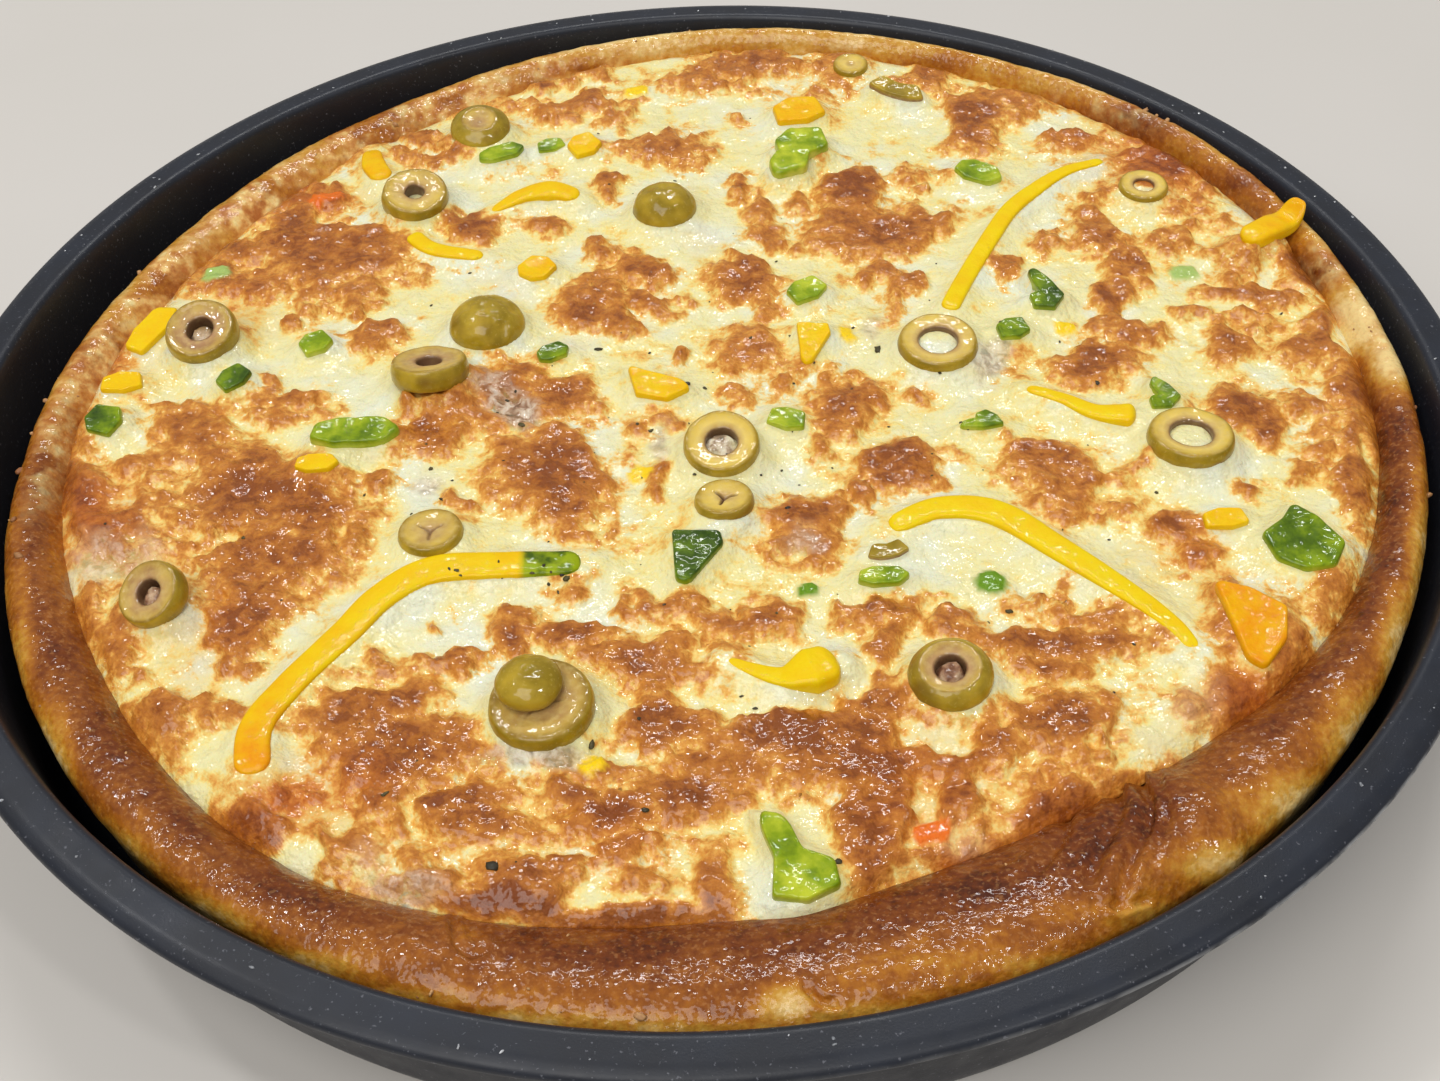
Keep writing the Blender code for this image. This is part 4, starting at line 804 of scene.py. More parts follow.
steps = np.linspace(-1, 1, CHEESE_CELLS + 1)
square_x, square_y = np.meshgrid(steps, -steps)
disc_x = square_x * np.sqrt(1 - square_y ** 2 / 2)
disc_y = square_y * np.sqrt(1 - square_x ** 2 / 2)
disc_angle = np.arctan2(disc_y, disc_x)
line_radius = around(CHEESE_RADIUS, disc_angle)
bearing, half_width, farther = MELTED_OVER
from_bearing = (np.degrees(disc_angle) - bearing + 180) % 360 - 180
edge_radius = line_radius + CHEESE_SPREAD + farther * np.exp(-(from_bearing / half_width) ** 2)
sheet_radius = np.hypot(disc_x, disc_y) * edge_radius
sheet_x, sheet_y = sheet_radius * np.cos(disc_angle), sheet_radius * np.sin(disc_angle)
spot = np.stack((sheet_x, sheet_y, 0 * sheet_x), axis=-1)
reach_share = sheet_radius / line_radius
crest_rise = around(CRUST_CREST, disc_angle) - MEAN_CREST
sheet_level = CHEESE_LEVEL + 0.8 * crest_rise * np.minimum(reach_share, 1.05) ** 4
cheese_pixels = photo_pixels(np.stack((sheet_x, sheet_y, sheet_level + 0.8), axis=-1))
wander = np.stack((cloud(spot, 9.0, 21), cloud(spot, 9.0, 22)), axis=-1)
fine_wander = np.stack((cloud(spot, 2.6, 23, 2), cloud(spot, 2.6, 24, 2)), axis=-1)
frayed = cheese_pixels + 9.0 * wander + 5.0 * fine_wander
browning = 1.10 * patches(BROWNED, frayed, 0.62) - 0.80 * patches(CREAM, frayed, 0.45)
browning += 0.24 * cloud(spot, 7.0, 31, 4) + 0.17 * cloud(spot, 3.0, 32, 3) + 0.08
near_edge = np.clip((sheet_radius - edge_radius + EDGE_BAND) / 4.0, 0, 1)
browning += 0.32 * near_edge * (0.7 + 0.5 * cloud(spot, 11.0, 33, 2))
browning = np.clip(browning, 0, 1.2)
blistered = np.clip((browning - 0.35) / 0.4, 0, 1)
blistered = blistered * blistered * (3 - 2 * blistered)
height = sheet_level + 0.25 * cloud(spot, 18.0, 41, 2) + BLISTER_RISE * blistered
height += blistered * (0.60 * cloud(spot, 4.6, 42, 2) + 0.30 * cloud(spot, 2.2, 43, 2))
height += (1 - blistered) * (0.42 * cloud(spot, 5.0, 44, 3))
height += LUMP_RISE * patches(LUMPS, frayed, 0.5) * (0.6 + 0.4 * cloud(spot, 2.4, 45, 2))
beyond = np.clip((sheet_radius - edge_radius + EDGE_BAND) / 6.0, 0, 1)
height -= beyond * (height - sheet_level) * 0.8 + 3.2 * beyond ** 2
settled = height.copy()
for topping in toppings.values():
    margin = 3.0 * MELT_REACH
    low, high = topping.points.min(axis=0) - margin, topping.points.max(axis=0) + margin
    near = (sheet_x > low[0]) & (sheet_x < high[0]) & (sheet_y > low[1]) & (sheet_y < high[1])
    if topping.name == "olive_end_03" or not near.any():
        continue
    height[near] = draw_up(height[near], sheet_x[near], sheet_y[near], topping)
held = np.clip((sheet_radius - edge_radius + 2.0) / 2.0, 0, 1)
height = height * (1 - held) + settled * held
# Rings whose holes the cheese or the olive's own pulp fills: radius, height above the underside, and pulp.
FILLED_HOLES = (
    ("olive_ring_05", 4.4, 3.1, 0.0), ("olive_ring_06", 4.5, 3.0, 0.0), ("olive_ring_07", 3.5, 2.6, 0.0),
    ("olive_ring_03", 3.0, 3.0, 0.8), ("olive_ring_04", 2.7, 3.0, 1.0), ("olive_ring_09", 2.6, 3.0, 1.0),
    ("olive_ring_11", 2.9, 4.4, 1.0), ("olive_ring_12", 2.6, 1.9, 0.0),
)
pulp = np.zeros_like(height)
for name, filled_radius, filled_height, pulpy in FILLED_HOLES:
    away = np.hypot(sheet_x - toppings[name].middle[0], sheet_y - toppings[name].middle[1])
    bottom = toppings[name].underside(sheet_x, sheet_y)
    share = np.clip((filled_radius - away) / 1.2, 0, 1)
    height = height * (1 - share) + (bottom + filled_height + 0.25 * cloud(spot, 1.6, 51, 2)) * share
    pulp = np.maximum(pulp, pulpy * np.clip((filled_radius + 1.6 - away) / 0.8, 0, 1))

bit, bit_tone = np.zeros_like(height), np.zeros_like(height)
for x, y, length, width, turn, tone in BAKED_BITS:
    c, s = math.cos(math.radians(turn)), math.sin(math.radians(turn))
    along = ((sheet_x - x) * c + (sheet_y - y) * s) / length * 2
    across = ((sheet_y - y) * c - (sheet_x - x) * s) / width * 2
    reach = (np.abs(along) ** 3 + np.abs(across) ** 3) ** (1 / 3) + 0.2 * cloud(spot, 2.0, 52, 1)
    bit = np.maximum(bit, np.clip((1.15 - reach) / 0.18, 0, 1))
    bit_tone = np.where(reach < 2.2, tone, bit_tone)
height += BIT_RISE * bit

sheet_points = np.stack((sheet_x, sheet_y, height), axis=-1)
sheet_index = np.arange(sheet_x.size).reshape(sheet_x.shape)
sheet_quads = np.stack(
    (sheet_index[:-1, :-1], sheet_index[1:, :-1], sheet_index[1:, 1:], sheet_index[:-1, 1:]), axis=-1,
).reshape(-1, 4)
rim_loop = np.concatenate(
    (sheet_index[0, :-1], sheet_index[:-1, -1], sheet_index[-1, :0:-1], sheet_index[:0:-1, 0])
)
rim_inset = 1 - FOOT_INSET / np.hypot(sheet_x, sheet_y).ravel()[rim_loop]
foot_points = sheet_points.reshape(-1, 3)[rim_loop] * np.stack((rim_inset, rim_inset, 0 * rim_inset), axis=-1)
foot_points[:, 2] = CHEESE_FOOT
foot_index = sheet_index.size + np.arange(len(rim_loop))
centre_index = sheet_index.size + len(rim_loop)
skirt = np.stack((rim_loop, np.roll(rim_loop, -1), np.roll(foot_index, -1), foot_index), axis=-1)
base = np.stack((foot_index, np.roll(foot_index, -1), np.full(len(foot_index), centre_index)), axis=-1)
all_points = np.concatenate((sheet_points.reshape(-1, 3), foot_points, ((0, 0, CHEESE_FOOT),)))
padding = len(rim_loop) + 1


def padded_values(values):
    """The sheet's values, with zeros for the points of its foot and its centre."""
    return np.concatenate((np.ravel(values), np.zeros(padding)))


cheese_faces = np.concatenate((sheet_quads, skirt)).tolist() + base.tolist()
cheese = mesh_object("cheese_melted", all_points, cheese_faces, {
    "browning": padded_values(browning),
    "oily": padded_values(patches(OILY, frayed, 0.8)),
    "scorched": padded_values(patches(SCORCHED, frayed, 0.7)),
    "lump": padded_values(patches(LUMPS, frayed, 0.5)),
    "pulp": padded_values(pulp),
    "bit": padded_values(bit),
    "bit_tone": padded_values(bit_tone),
    "meat": padded_values(patches(MEAT, frayed, 0.35)),
})
melted, tree, shader = finish(
    "melted_cheese", Coat_Weight=0.7, Coat_Roughness=0.09, Subsurface_Weight=0.12, Specular_IOR_Level=0.15,
    Subsurface_Radius=(0.004, 0.0025, 0.0012), Subsurface_Scale=0.5,
)
browned = sums(tree, value_of(tree, "browning"), 0.8, "MULTIPLY")
mottle = steps_between(tree, value_of(tree, "browning"), 0.1, 0.5, 0.3, 1.0)
fine_mottle = steps_between(tree, grain(tree, 420, 4, 0.4), 0.3, 0.7, -0.20, 0.20)
browned = sums(tree, browned, sums(tree, mottle, fine_mottle, "MULTIPLY"))
browned = sums(tree, browned, steps_between(tree, grain(tree, 1300, 3), 0.3, 0.7, -0.08, 0.08))
browned = sums(tree, browned, sums(tree, value_of(tree, "scorched"), 0.28, "MULTIPLY"))
browned = sums(tree, browned, sums(tree, value_of(tree, "oily"), 0.16, "MULTIPLY"))
toasted = ramp(tree, browned, (
    (0.0, (236, 229, 172)), (0.15, (240, 226, 152)), (0.25, (241, 211, 122)), (0.34, (236, 186, 94)),
    (0.43, (222, 156, 68)), (0.55, (202, 130, 48)), (0.72, (182, 110, 36)), (0.88, (166, 95, 29)),
    (1.0, (140, 74, 20)),
))
whiter = steps_between(tree, grain(tree, 75, 3), 0.48, 0.68)
pale_only = steps_between(tree, browned, 0.34, 0.16)
toasted = blend(tree, sums(tree, whiter, pale_only, "MULTIPLY"), toasted, paint(231, 233, 206))
reddened = sums(tree, value_of(tree, "oily"), 0.6, "MULTIPLY")
toasted = blend(tree, reddened, toasted, paint(226, 150, 70), "MULTIPLY")
charred = sums(tree, value_of(tree, "scorched"), 0.5, "MULTIPLY")
toasted = blend(tree, charred, toasted, paint(116, 52, 24))
lumpy = sums(tree, value_of(tree, "lump"), 0.35, "MULTIPLY")
toasted = blend(tree, lumpy, toasted, paint(224, 200, 164))
meat_grain = ramp(tree, grain(tree, 420, 3, 0.6), (
    (0.34, (84, 60, 50)), (0.44, (150, 116, 96)), (0.55, (208, 190, 168)), (0.7, (240, 234, 216)),
))
toasted = blend(tree, sums(tree, value_of(tree, "meat"), 0.85, "MULTIPLY"), toasted, meat_grain)
pulp_grain = ramp(tree, grain(tree, 520, 3), (
    (0.38, (120, 80, 56)), (0.5, (166, 126, 96)), (0.65, (206, 174, 140)),
))
toasted = blend(tree, value_of(tree, "pulp"), toasted, pulp_grain)
bit_colour = ramp(tree, value_of(tree, "bit_tone"), (
    (0.0, (252, 210, 4)), (0.33, (232, 112, 18)), (0.66, (168, 194, 104)), (1.0, (104, 146, 12)),
))
toasted = blend(tree, value_of(tree, "bit"), toasted, bit_colour)
tree.links.new(toasted, shader.inputs["Base Color"])
gloss = steps_between(tree, grain(tree, 140, 3), 0.35, 0.65, 0.34, 0.56)
tree.links.new(gloss, shader.inputs["Roughness"])
bumps(tree, shader, (grain(tree, 900, 4), 0.0006, 0.75), (grain(tree, 300, 3), 0.0015, 0.6))
coat_bumps(tree, shader, (grain(tree, 620, 1), 0.0004, 0.9), (grain(tree, 260, 1), 0.0007, 0.7))
dress(cheese, melted, "melted_cheese", "cheese")

# The olives
# Green table olives, pitted and cut across into slices and rounded ends, then baked: the flesh turned tan and
# the skin a brownish olive. Each is a turned piece that lies in the cheese at its own slant.
OLIVE_HOLES = {
    "olive_ring_02": 4.6, "olive_ring_03": 6.0, "olive_ring_04": 5.4, "olive_ring_05": 8.4,
    "olive_ring_06": 8.6, "olive_ring_07": 6.6, "olive_ring_09": 5.0, "olive_ring_11": 5.6,
    "olive_ring_12": 4.8,
}
SMALL_FACES = {"olive_ring_01": 0.6, "olive_ring_11": 0.74}
OLIVE_FACE = 0.93
# How far the flesh has turned from yellow to a brownish purple.
FLESH_TONES = {
    "olive_ring_01": 0.6, "olive_ring_02": 0.4, "olive_ring_03": 0.8, "olive_ring_04": 0.55,
    "olive_ring_05": 0.1, "olive_ring_06": 0.15, "olive_ring_07": 0.0, "olive_ring_08": 0.45,
    "olive_ring_09": 0.7, "olive_ring_10": 0.8, "olive_ring_11": 0.7, "olive_ring_12": 0.0,
    "olive_ring_13": 0.1, "olive_ring_14": 0.2,
}
# Slices through the pit's tip, whose middle closed to a star: depth of its arms and their first bearing.
PIT_STARS = {"olive_ring_08": (0.5, 0.5), "olive_ring_13": (0.9, 0.2), "olive_ring_10": (0.3, 2.0)}
# How much deeper some pieces shrivelled, in millimetres.
WRINKLES = {"olive_end_02": 0.9, "olive_end_01": 0.4, "olive_ring_02": 0.5, "olive_end_03": 0.15}
OLIVE_STEPS = 96


def turned_piece(topping, section, values, wrap_rows):
    """A turned piece in its own place: each section point goes round the piece's axis at its share of the
    outline's reach, and rises along the axis."""
    angles = np.linspace(0, 2 * math.pi, OLIVE_STEPS, endpoint=False)
    reach = topping.reach(angles)
    reach = sum(np.roll(reach, shift) for shift in range(-4, 5)) / 9
    spokes = np.cos(angles)[:, None] * topping.side + np.sin(angles)[:, None] * topping.ahead
    out = section[:, :1, None]
    points = topping.middle + out * (reach[:, None] * spokes)[None]
    points = points + section[:, 1:2, None] * topping.facing
    wrinkled = 0.22 + WRINKLES.get(topping.name, 0.0)
    dents = wrinkled * cloud(points, 3.6, 61, 2) + 0.05 * cloud(points, 1.1, 62, 2)
    depth, first = PIT_STARS.get(topping.name, (0.0, 0.0))
    arms = np.abs(np.sin(1.5 * (angles - first)))[None, :] * out[..., 0] * reach.mean()
    star = depth * np.exp(-(arms / 0.45) ** 2) * np.clip((0.5 - out[..., 0]) / 0.15, 0, 1)
    star = star * (section[:, 1:2] > 0)
    points = points + (np.minimum(dents, 0.06) * (out[..., 0] > 0.02) - star)[..., None] * topping.facing
    shape = points.shape[:2]
    attributes = {title: np.broadcast_to(np.asarray(row)[:, None], shape) for title, row in values.items()}
    attributes["sunk"] = attributes["sunk"] + star * 1.6
    attributes["tone"] = np.full(shape, FLESH_TONES.get(topping.name, 0.2))
    return surface(topping.name + "_piece", points, wrap_rows, attributes)


def olive_slice(topping, hole):
    """A slice's section, from the hole or the middle over the cut face, round the bulging skin, to the lower
    face. Its values tell skin from flesh and how far out each point lies."""
    half = topping.half_thickness
    radius = topping.reach(bearings).mean()
    face = SMALL_FACES.get(topping.name, OLIVE_FACE)
    middle = hole / 2 / radius
    if hole:
        inner = (
            (middle, -half),
            (middle * 0.97, half * 0.45),
            (middle, half * 0.74),
            (middle + 0.07, half * 0.82),
        )
    else:
        inner = ((0.0, half * 0.66), (0.10, half * 0.68), (0.22, half * 0.80))
    crown = ((face * 0.80, half * 0.90), (face * 0.93, half), (face * 0.985, half * 0.97))
    shoulder = np.array(((0.35, 0.78), (0.72, 0.46), (0.93, 0.2))) * (1.0 - face, half) + (face, 0)
    skin_side = ((1.0, 0.0), (0.985, -half * 0.6), (OLIVE_FACE, -half))
    corners = [*inner, *crown, *shoulder, *skin_side]
    if not hole:
        corners.append((0.0, -half))
    fine = soft_line(np.array(corners) * (radius, 1.0), 72, 0.6, closed=bool(hole)) / (radius, 1.0)
    skin = np.where(fine[:, 1] > -half * 0.9, np.clip((fine[:, 0] - face * 0.985) / 0.02, 0, 1), 0)
    outward = np.clip((fine[:, 0] - middle) / (face - middle), 0, 1)
    inside_hole = np.clip((middle + 0.05 - fine[:, 0]) / 0.05, 0, 1) if hole else 0 * skin
    return turned_piece(topping, fine, {"skin": skin, "outward": outward, "sunk": inside_hole}, bool(hole))


def olive_end(topping):
    """An end's section: half an egg above a flat cut, with a small dimple at its top."""
    half = topping.half_thickness
    rise = np.linspace(0, 1, 60)
    angle = (1 - rise) * math.pi / 2
    dome = np.stack((np.cos(angle), -half * 0.56 + 1.56 * half * np.sin(angle)), axis=1)
    dome[:, 1] -= 0.5 * np.exp(-(dome[:, 0] / 0.16) ** 2)
    foot = np.array(((0.985, -half * 0.85), (0.95, -half), (0.0, -half)))
    section = np.concatenate((dome, foot))
    values = {"skin": np.ones(len(section)), "outward": section[:, 0], "sunk": 0 * section[:, 0]}
    return turned_piece(topping, section, values, False)


olive_finish, tree, shader = finish(
    "green_olive", Roughness=0.4, Specular_IOR_Level=0.15, Coat_Weight=0.7, Coat_Roughness=0.06,
    Subsurface_Weight=0.08, Subsurface_Radius=(0.003, 0.002, 0.0008), Subsurface_Scale=0.5,
)
outward = value_of(tree, "outward")
yellow_flesh = ramp(tree, outward, (
    (0.0, (160, 124, 74)), (0.14, (196, 162, 88)), (0.40, (232, 202, 104)), (0.75, (220, 188, 78)),
    (0.95, (168, 136, 36)),
))
purple_flesh = ramp(tree, outward, (
    (0.0, (136, 94, 60)), (0.2, (182, 140, 98)), (0.5, (164, 122, 78)), (0.8, (184, 148, 72)),
    (0.95, (144, 112, 34)),
))
uneven = steps_between(tree, grain(tree, 240, 3), 0.3, 0.7, -0.3, 0.3)
purple_share = sums(tree, value_of(tree, "tone"), uneven, clamp=True)
flesh = blend(tree, purple_share, yellow_flesh, purple_flesh)
fibres = steps_between(tree, grain(tree, 700, 3), 0.45, 0.75, 0.0, 0.5)
flesh = blend(tree, fibres, flesh, paint(214, 190, 120))
shaded = sums(tree, value_of(tree, "sunk"), 0.75, "MULTIPLY", True)
flesh = blend(tree, shaded, flesh, paint(104, 76, 56))
ripeness = steps_between(tree, grain(tree, 170, 3), 0.35, 0.65)
skin_tone = blend(tree, ripeness, paint(142, 118, 14), paint(186, 156, 40))
flecks = steps_between(tree, grain(tree, 1500, 2), 0.60, 0.70, 0, 0.5)
skin_tone = blend(tree, flecks, skin_tone, paint(186, 160, 70))
stains = steps_between(tree, grain(tree, 90, 2), 0.58, 0.70, 0, 0.6)
skin_tone = blend(tree, stains, skin_tone, paint(120, 84, 26))
tree.links.new(blend(tree, value_of(tree, "skin"), flesh, skin_tone), shader.inputs["Base Color"])
bumps(tree, shader, (grain(tree, 1300, 3), 0.00016, 0.4))
coat_bumps(tree, shader, (grain(tree, 420, 1), 0.0004, 0.7))
for name, topping in toppings.items():
    if name.startswith("olive_ring"):
        dress(olive_slice(topping, OLIVE_HOLES.get(name, 0.0)), olive_finish, "green_olive", name)
    elif name.startswith("olive_end"):
        dress(olive_end(topping), olive_finish, "green_olive", name)

# The peppers
# Sweet peppers cut by hand into strips and small dice, soft and glossy from the oven. The skin side is smooth
# and deeper in colour than the juicy cut edges. The cheese is drawn up round the pieces that lie in it.
PEPPER_TONES = {
    "yellow_strip_01": 0.25, "yellow_strip_02": 0.1, "yellow_strip_03": 0.1, "yellow_strip_04": 0.45,
    "yellow_strip_05": 0.2, "yellow_strip_06": 0.3, "yellow_strip_07": 0.15, "yellow_strip_08": 0.1,
    "yellow_strip_09": 0.4, "yellow_dice_01": 0.35, "yellow_dice_02": 0.4, "yellow_dice_03": 0.5,
    "yellow_dice_05": 0.35, "yellow_dice_06": 0.2, "yellow_dice_07": 0.35, "orange_dice_01": 0.74,
    "green_dice_01": 0.75, "green_dice_02": 0.55, "green_dice_03": 0.6, "green_dice_04": 0.6,
    "green_dice_05": 0.25, "green_dice_06": 0.5, "green_dice_07": 0.7, "green_dice_08": 0.4,
    "green_dice_09": 0.8, "green_dice_10": 0.35, "green_dice_11": 0.35, "green_dice_12": 0.6,
    "green_dice_13": 0.7, "green_dice_14": 0.5, "green_dice_15": 0.45, "green_dice_16": 0.4,
    "green_dice_17": 0.15, "green_dice_18": 0.65, "green_dice_19": 0.7,
}
# The share of a strip, from its first place, that was still green.
GREEN_ENDS = {"yellow_strip_01": 0.14}
# How much riper a strip is at its last place.
RIPER_ENDS = {"yellow_strip_01": 0.5, "yellow_strip_09": 0.2}


def cut_piece(topping, tone):
    """A cut piece: rings of its outline from the middle of the pillowed top, over a rounded edge and down the
    cut side, to the middle of the underside."""
    half = topping.half_thickness
    angles = np.linspace(0, 2 * math.pi, 144, endpoint=False)
    reach = topping.reach(angles)
    reach = sum(np.roll(reach, shift) for shift in (-2, -1, 0, 1, 2)) / 5
    edge = (0.92, 0.965, 0.99, 1.0, 1.0, 0.985, 0.99, 1.0, 0.97, 0.6, 0.0)
    edge_rise = (0.92, 0.80, 0.58, 0.3, 0.0, -0.3, -0.6, -0.85, -1, -1, -1)
    share = np.concatenate((np.linspace(0, 0.86, 22), edge))
    rise = np.concatenate((0.80 + 0.12 * np.linspace(0, 1, 22) ** 2, edge_rise))
    spokes = np.cos(angles)[:, None] * topping.side + np.sin(angles)[:, None] * topping.ahead
    points = topping.middle + share[:, None, None] * (reach[:, None] * spokes)[None]
    points = points + (rise * half)[:, None, None] * topping.facing
    dents = 0.45 * cloud(points, 4.5, 71, 2) + 0.12 * cloud(points, 1.4, 72, 2)
    top_only = np.clip(rise, 0, 1)[:, None]
    points = points + (np.minimum(dents, 0.12) * top_only * half / 2)[..., None] * topping.facing
    skin = np.clip(rise * 3 - 1.2, 0, 1)[:, None] + 0 * reach
    return surface(topping.name + "_piece", points, False, {"skin": skin, "tone": tone + 0 * skin})


def pepper_strip(topping, tone):
    """A strip: an oval carried along its route at its solid's height, each ring turned across the route, with
    rounded ends."""
    width, thickness, taper = STRIP_SIZES[topping.name]
    route = smooth_route(STRIP_ROUTES[topping.name], 120)
    share = np.linspace(0, 1, len(route))
    scale = np.interp(share, np.linspace(0, 1, len(taper)), taper)
    length = np.linalg.norm(np.diff(route, axis=0), axis=1).sum()
    end_distance = np.minimum(share, 1 - share) * length / (width * 0.5)
    rounded = np.sqrt(np.clip(1 - (1 - np.clip(end_distance, 0, 1)) ** 2, 0, 1))
    rounded[[0, -1]] = 0.0
    rise = topping.route_heights(route)
    rise = np.convolve(np.pad(rise, 6, mode="edge"), np.full(13, 1 / 13), "valid")
    ahead = np.gradient(route, axis=0)
    ahead = ahead / np.linalg.norm(ahead, axis=1, keepdims=True)
    side = np.stack((-ahead[:, 1], ahead[:, 0], 0 * share), axis=1)
    around_oval = np.linspace(0, 2 * math.pi, 40, endpoint=False)
    flat = np.sign(np.cos(around_oval)) * np.abs(np.cos(around_oval)) ** 0.5
    tall = np.sign(np.sin(around_oval)) * np.abs(np.sin(around_oval)) ** 0.6
    size = (scale * rounded)[:, None]
    centre = np.concatenate((route, rise[:, None]), axis=1)
    points = centre[:, None] + (size * flat * width / 2)[..., None] * side[:, None]
    points[..., 2] += rounded[:, None] * scale[:, None] * tall * thickness / 2
    points[..., 2] += 0.15 * cloud(points, 6.0, 81, 2) * (size > 0)
    skin = np.clip(tall * 2.4 + 0.1, 0, 1)[None] + 0 * size
    green = np.clip((GREEN_ENDS.get(topping.name, 0.0) - share) / 0.015, 0, 1)[:, None] + 0 * skin
    riper = RIPER_ENDS.get(topping.name, 0.0) * np.clip((share - 0.7) / 0.3, 0, 1)[:, None]
    values = {"skin": skin[:, ::-1], "tone": tone + riper + 0 * skin, "green": green}
    return surface(topping.name + "_piece", points[:, ::-1], False, values)


def pepper_finish(name, coat, variety, skins, cuts):
    """A pepper's flesh and skin: the skin's tone runs along its own ramp, the cut edges along a paler one."""
    material, tree, shader = finish(
        name, Roughness=0.42, Specular_IOR_Level=0.1, Coat_Weight=coat, Coat_Roughness=0.07,
        Subsurface_Weight=0.1, Subsurface_Radius=(0.003, 0.003, 0.001), Subsurface_Scale=0.5,
    )
    shift = steps_between(tree, grain(tree, 200, 3), 0.3, 0.7, -variety, variety)
    tone = sums(tree, value_of(tree, "tone"), shift)
    tone = sums(tree, tone, steps_between(tree, grain(tree, 1300, 2), 0.3, 0.7, -0.05, 0.05))
    outside, inside = ramp(tree, tone, skins), ramp(tree, tone, cuts)
    colour = blend(tree, value_of(tree, "skin"), inside, outside)
    unripe = ramp(tree, grain(tree, 300, 3), ((0.35, (66, 92, 4)), (0.6, (150, 168, 12))))
    colour = blend(tree, value_of(tree, "green"), colour, unripe)
    tree.links.new(colour, shader.inputs["Base Color"])
    bumps(tree, shader, (grain(tree, 1500, 2), 0.00012, 0.4), (grain(tree, 330, 3), 0.0006, 0.5))
    coat_bumps(tree, shader, (grain(tree, 480, 1), 0.0005, 0.7))
    return material


yellow_finish = pepper_finish(
    "yellow_pepper", 0.3, 0.16,
    ((0.0, (238, 206, 0)), (0.4, (238, 188, 0)), (0.7, (236, 162, 0)), (1.0, (228, 120, 0))),
    ((0.0, (240, 214, 24)), (0.5, (238, 192, 4)), (1.0, (230, 142, 4))),
)
green_finish = pepper_finish(
    "green_pepper", 0.6, 0.3,
    ((0.0, (44, 70, 4)), (0.3, (84, 112, 4)), (0.6, (132, 156, 6)), (1.0, (190, 200, 46))),
    ((0.0, (96, 126, 12)), (0.5, (160, 180, 34)), (1.0, (208, 214, 100))),
)
for name, topping in toppings.items():
    tone = PEPPER_TONES.get(name, 0.3)
    if name in STRIP_ROUTES:
        dress(pepper_strip(topping, tone), yellow_finish, "yellow_pepper", name)
    elif name.startswith("yellow_dice"):
        dress(cut_piece(topping, tone), yellow_finish, "yellow_pepper", name)
    elif name.startswith("orange_dice"):
        dress(cut_piece(topping, tone), yellow_finish, "orange_pepper", name)
    elif name.startswith("green_dice"):
        dress(cut_piece(topping, tone), green_finish, "green_pepper", name)
    elif name.startswith("olive_half"):
        dress(cut_piece(topping, 0.5), olive_finish, "green_olive", name)

# The herbs, crumbs and drops
# Dried herbs fell on the cheese, crumbs of flour and cheese stuck to the crust, and drops of water and oil
# dried on the pan's lip. Each kind is one piece of many small chips, all resting on the surface under them.
HERB_PIXELS = (
    (562, 574), (568, 580), (556, 591), (549, 586), (455, 570), (458, 573), (508, 400), (517, 392),
    (524, 424), (497, 412), (1003, 322), (1012, 330), (960, 425), (968, 430), (385, 795), (590, 746),
    (645, 812), (800, 285), (600, 350), (686, 384), (706, 388), (652, 430), (1290, 516), (1275, 230),
    (490, 868), (830, 912), (250, 930), (1100, 385), (432, 470), (440, 500), (838, 860), (205, 345),
    (1010, 610), (880, 350),
)
# Scorched specks on the long strip at the near left.
STRIP_SPECKS = ((455, 570), (461, 575), (448, 567), (498, 561), (545, 566), (534, 573), (552, 572))
CRUMB_PIXELS = (
    (390, 120), (396, 126), (1150, 102), (1162, 106), (1171, 112), (1428, 405), (1433, 495), (22, 428),
    (18, 470), (14, 520), (20, 556), (430, 992), (44, 400), (130, 262), (640, 1018),
)
STREWN_HERBS, STREWN_CRUMBS, DROP_COUNT = 90, 90, 70


def chips(name, places, sizes, flatness, seed):
    """Many small chips as one piece: each is a ball of few faces, dented, stretched one way, flattened and
    turned about the upright axis, with its middle a little above its place."""
    body = bmesh.new()
    bmesh.ops.create_icosphere(body, subdivisions=2, radius=1.0)
    ball = np.array([corner.co for corner in body.verts])
    faces = np.array([[corner.index for corner in face.verts] for face in body.faces])
    body.free()
    random = np.random.default_rng(seed)
    count = len(places)
    stretch = np.stack((
        random.uniform(0.7, 1.5, count), random.uniform(0.5, 1.0, count), 0 * sizes + flatness,
    ), axis=1)
    turn = random.uniform(0, math.pi, count)[:, None]
    dented = ball * (1 + 0.25 * random.uniform(-1, 1, (count, len(ball), 1)))
    shaped = dented * (stretch * sizes[:, None] / 2)[:, None]
    x = shaped[..., 0] * np.cos(turn) - shaped[..., 1] * np.sin(turn)
    y = shaped[..., 0] * np.sin(turn) + shaped[..., 1] * np.cos(turn)
    points = np.stack((x, y, shaped[..., 2]), axis=-1) + places[:, None]
    points[..., 2] += (0.12 * sizes * flatness)[:, None]
    all_faces = faces[None] + (np.arange(count) * len(ball))[:, None, None]
    shade = np.repeat(random.uniform(0, 1, count), len(ball))
    return mesh_object(name, points.reshape(-1, 3), all_faces.reshape(-1, 3), {"shade": shade})


def on_surface(points, pixels):
    """The visible points of a surface that show nearest to the given pixels of the view."""
    flat = points.reshape(-1, 3)
    seen = photo_pixels(flat)
    return np.array([flat[np.argmin(np.hypot(*(seen - pixel).T))] for pixel in pixels])


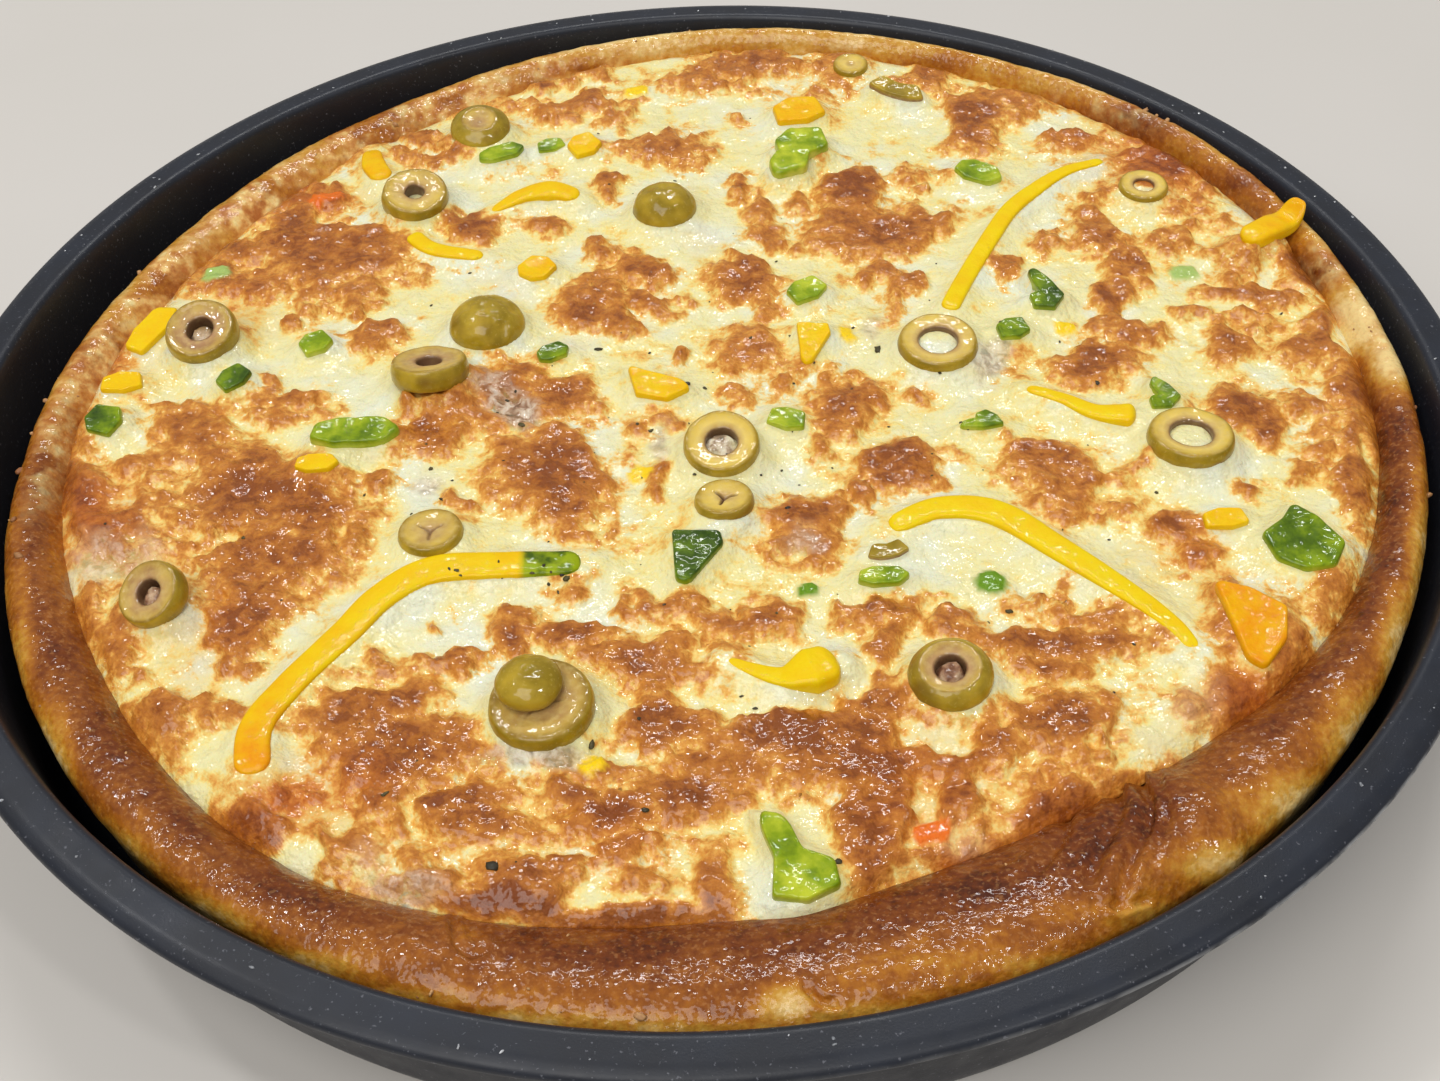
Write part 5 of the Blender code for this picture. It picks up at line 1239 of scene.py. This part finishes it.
def chip_finish(name, first, second, roughness, coat):
    """A finish whose chips lie anywhere between a first colour and a second."""
    material, tree, shader = finish(name, Roughness=roughness, Coat_Weight=coat, Coat_Roughness=0.05)
    colour = blend(tree, value_of(tree, "shade"), paint(*first), paint(*second))
    colour = blend(tree, steps_between(tree, grain(tree, 2500, 2), 0.4, 0.6, 0.0, 0.4), colour, paint(*first))
    tree.links.new(colour, shader.inputs["Base Color"])
    bumps(tree, shader, (grain(tree, 3000, 2), 0.0001, 0.5))
    return material


random = np.random.default_rng(7)
strewn = np.stack((random.normal(760, 260, STREWN_HERBS), random.normal(480, 170, STREWN_HERBS)), axis=1)
herb_pixels = np.concatenate((HERB_PIXELS, strewn))
herb_sizes = np.concatenate((
    random.uniform(0.9, 1.9, len(HERB_PIXELS)),
    random.uniform(0.3, 0.9, STREWN_HERBS),
    np.full(len(STRIP_SPECKS), 0.8),
))
strip_mesh = bpy.data.objects["yellow_strip_01_piece"].data
strip_places, strip_facing = np.empty(len(strip_mesh.vertices) * 3), np.empty(len(strip_mesh.vertices) * 3)
strip_mesh.vertices.foreach_get("co", strip_places)
strip_mesh.vertices.foreach_get("normal", strip_facing)
strip_top = strip_places.reshape(-1, 3)[strip_facing.reshape(-1, 3)[:, 2] > 0.5] / MM
herb_places = np.concatenate((on_surface(sheet_points, herb_pixels), on_surface(strip_top, STRIP_SPECKS)))
herbs = chips("dried_herbs", herb_places, herb_sizes, 0.35, 3)
dress(herbs, chip_finish("herb_leaf", (30, 22, 10), (84, 74, 24), 0.6, 0.1), "melted_cheese")

upper_crust = crust_points[(crust_points[..., 2] > 33.0) & (rim_place < 0.95)]
crumb_choice = random.choice(len(upper_crust), STREWN_CRUMBS, replace=False)
crumb_places = np.concatenate((on_surface(upper_crust, CRUMB_PIXELS), upper_crust[crumb_choice]))
crumb_sizes = np.concatenate((
    random.uniform(0.9, 1.7, len(CRUMB_PIXELS)), random.uniform(0.25, 0.6, STREWN_CRUMBS),
))
crumbs = chips("crust_crumbs", crumb_places, crumb_sizes, 0.7, 4)
dress(crumbs, chip_finish("crumb", (138, 82, 40), (214, 168, 112), 0.6, 0.1), "baked_dough")

lip = pan_points[(pan_points[..., 2] > PAN_HEIGHT - 1.0) & (pan_reach > MOUTH_RADIUS + 1.1)]
drop_places = lip[random.choice(len(lip), DROP_COUNT, replace=False)]
drops = chips("dried_drops", drop_places, random.uniform(0.25, 0.8, DROP_COUNT), 0.45, 5)
dress(drops, chip_finish("dried_drop", (120, 124, 130), (214, 216, 220), 0.25, 0.8), "pan_coating")

# The table and the light
# A plain pale table top, a soft sky all round, a broad window at the near left, and a tube of light above the
# far side with two small bulbs, whose reflections draw bright bars and sparks on all that is wet or oiled.
FLOOR_REACH = 1.6
SKY_COLOUR, SKY_STRENGTH = (1.0, 0.985, 0.96, 1.0), 0.28
# Each lamp's name, place and aim in metres, width, depth, watts and colour.
LAMPS = (
    ("tube", (0.1, 1.1, 1.9), (0.0, 0.0, 0.03), 1.1, 0.10, 13, (1.0, 1.0, 1.0)),
    ("window", (-0.8, -1.5, 2.6), (0.0, 0.0, 0.0), 2.2, 2.2, 54, (1.0, 0.98, 0.95)),
    ("bulb_right", (1.0, -0.8, 1.9), (0.0, 0.0, 0.03), 0.16, 0.16, 5.6, (1.0, 1.0, 1.0)),
    ("bulb_left", (-1.1, 0.5, 1.8), (0.0, 0.0, 0.03), 0.16, 0.16, 5.6, (1.0, 1.0, 1.0)),
)
corners = np.array([(-1, -1, 0), (1, -1, 0), (1, 1, 0), (-1, 1, 0)]) * FLOOR_REACH / MM
table_top = mesh_object("table_top", corners, np.array([(0, 1, 2, 3)]))
table_finish, tree, shader = finish("table_finish", Roughness=0.6)
mottled = steps_between(tree, grain(tree, 6, 3), 0.3, 0.7)
tree.links.new(blend(tree, mottled, paint(203, 199, 193), paint(207, 203, 198)), shader.inputs["Base Color"])
table_top.data.materials.append(table_finish)
table_top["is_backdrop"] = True


def soft_lamp(name, place, aim, width, depth, watts, colour):
    """A flat lamp at a place in metres that faces the aim."""
    data = bpy.data.lights.new(name, "AREA")
    data.shape = "RECTANGLE"
    data.size, data.size_y = width, depth
    data.energy = watts
    data.color = colour
    lamp = bpy.data.objects.new(name, data)
    bpy.context.scene.collection.objects.link(lamp)
    back = (np.array(place) - aim) / np.linalg.norm(np.array(place) - aim)
    right = np.cross((0, 0, 1.0), back) if abs(back[2]) < 0.99 else np.array((1.0, 0, 0))
    right = right / np.linalg.norm(right)
    up = np.cross(back, right)
    rows = [[*row, at] for row, at in zip(np.stack((right, up, back), axis=1), place)]
    lamp.matrix_world = Matrix([*rows, [0, 0, 0, 1]])


for lamp_row in LAMPS:
    soft_lamp(*lamp_row)
world = bpy.data.worlds.new("room_light")
bpy.context.scene.world = world
world.use_nodes = True
sky = world.node_tree.nodes["Background"]
sky.inputs["Color"].default_value = SKY_COLOUR
sky.inputs["Strength"].default_value = SKY_STRENGTH

low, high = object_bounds()
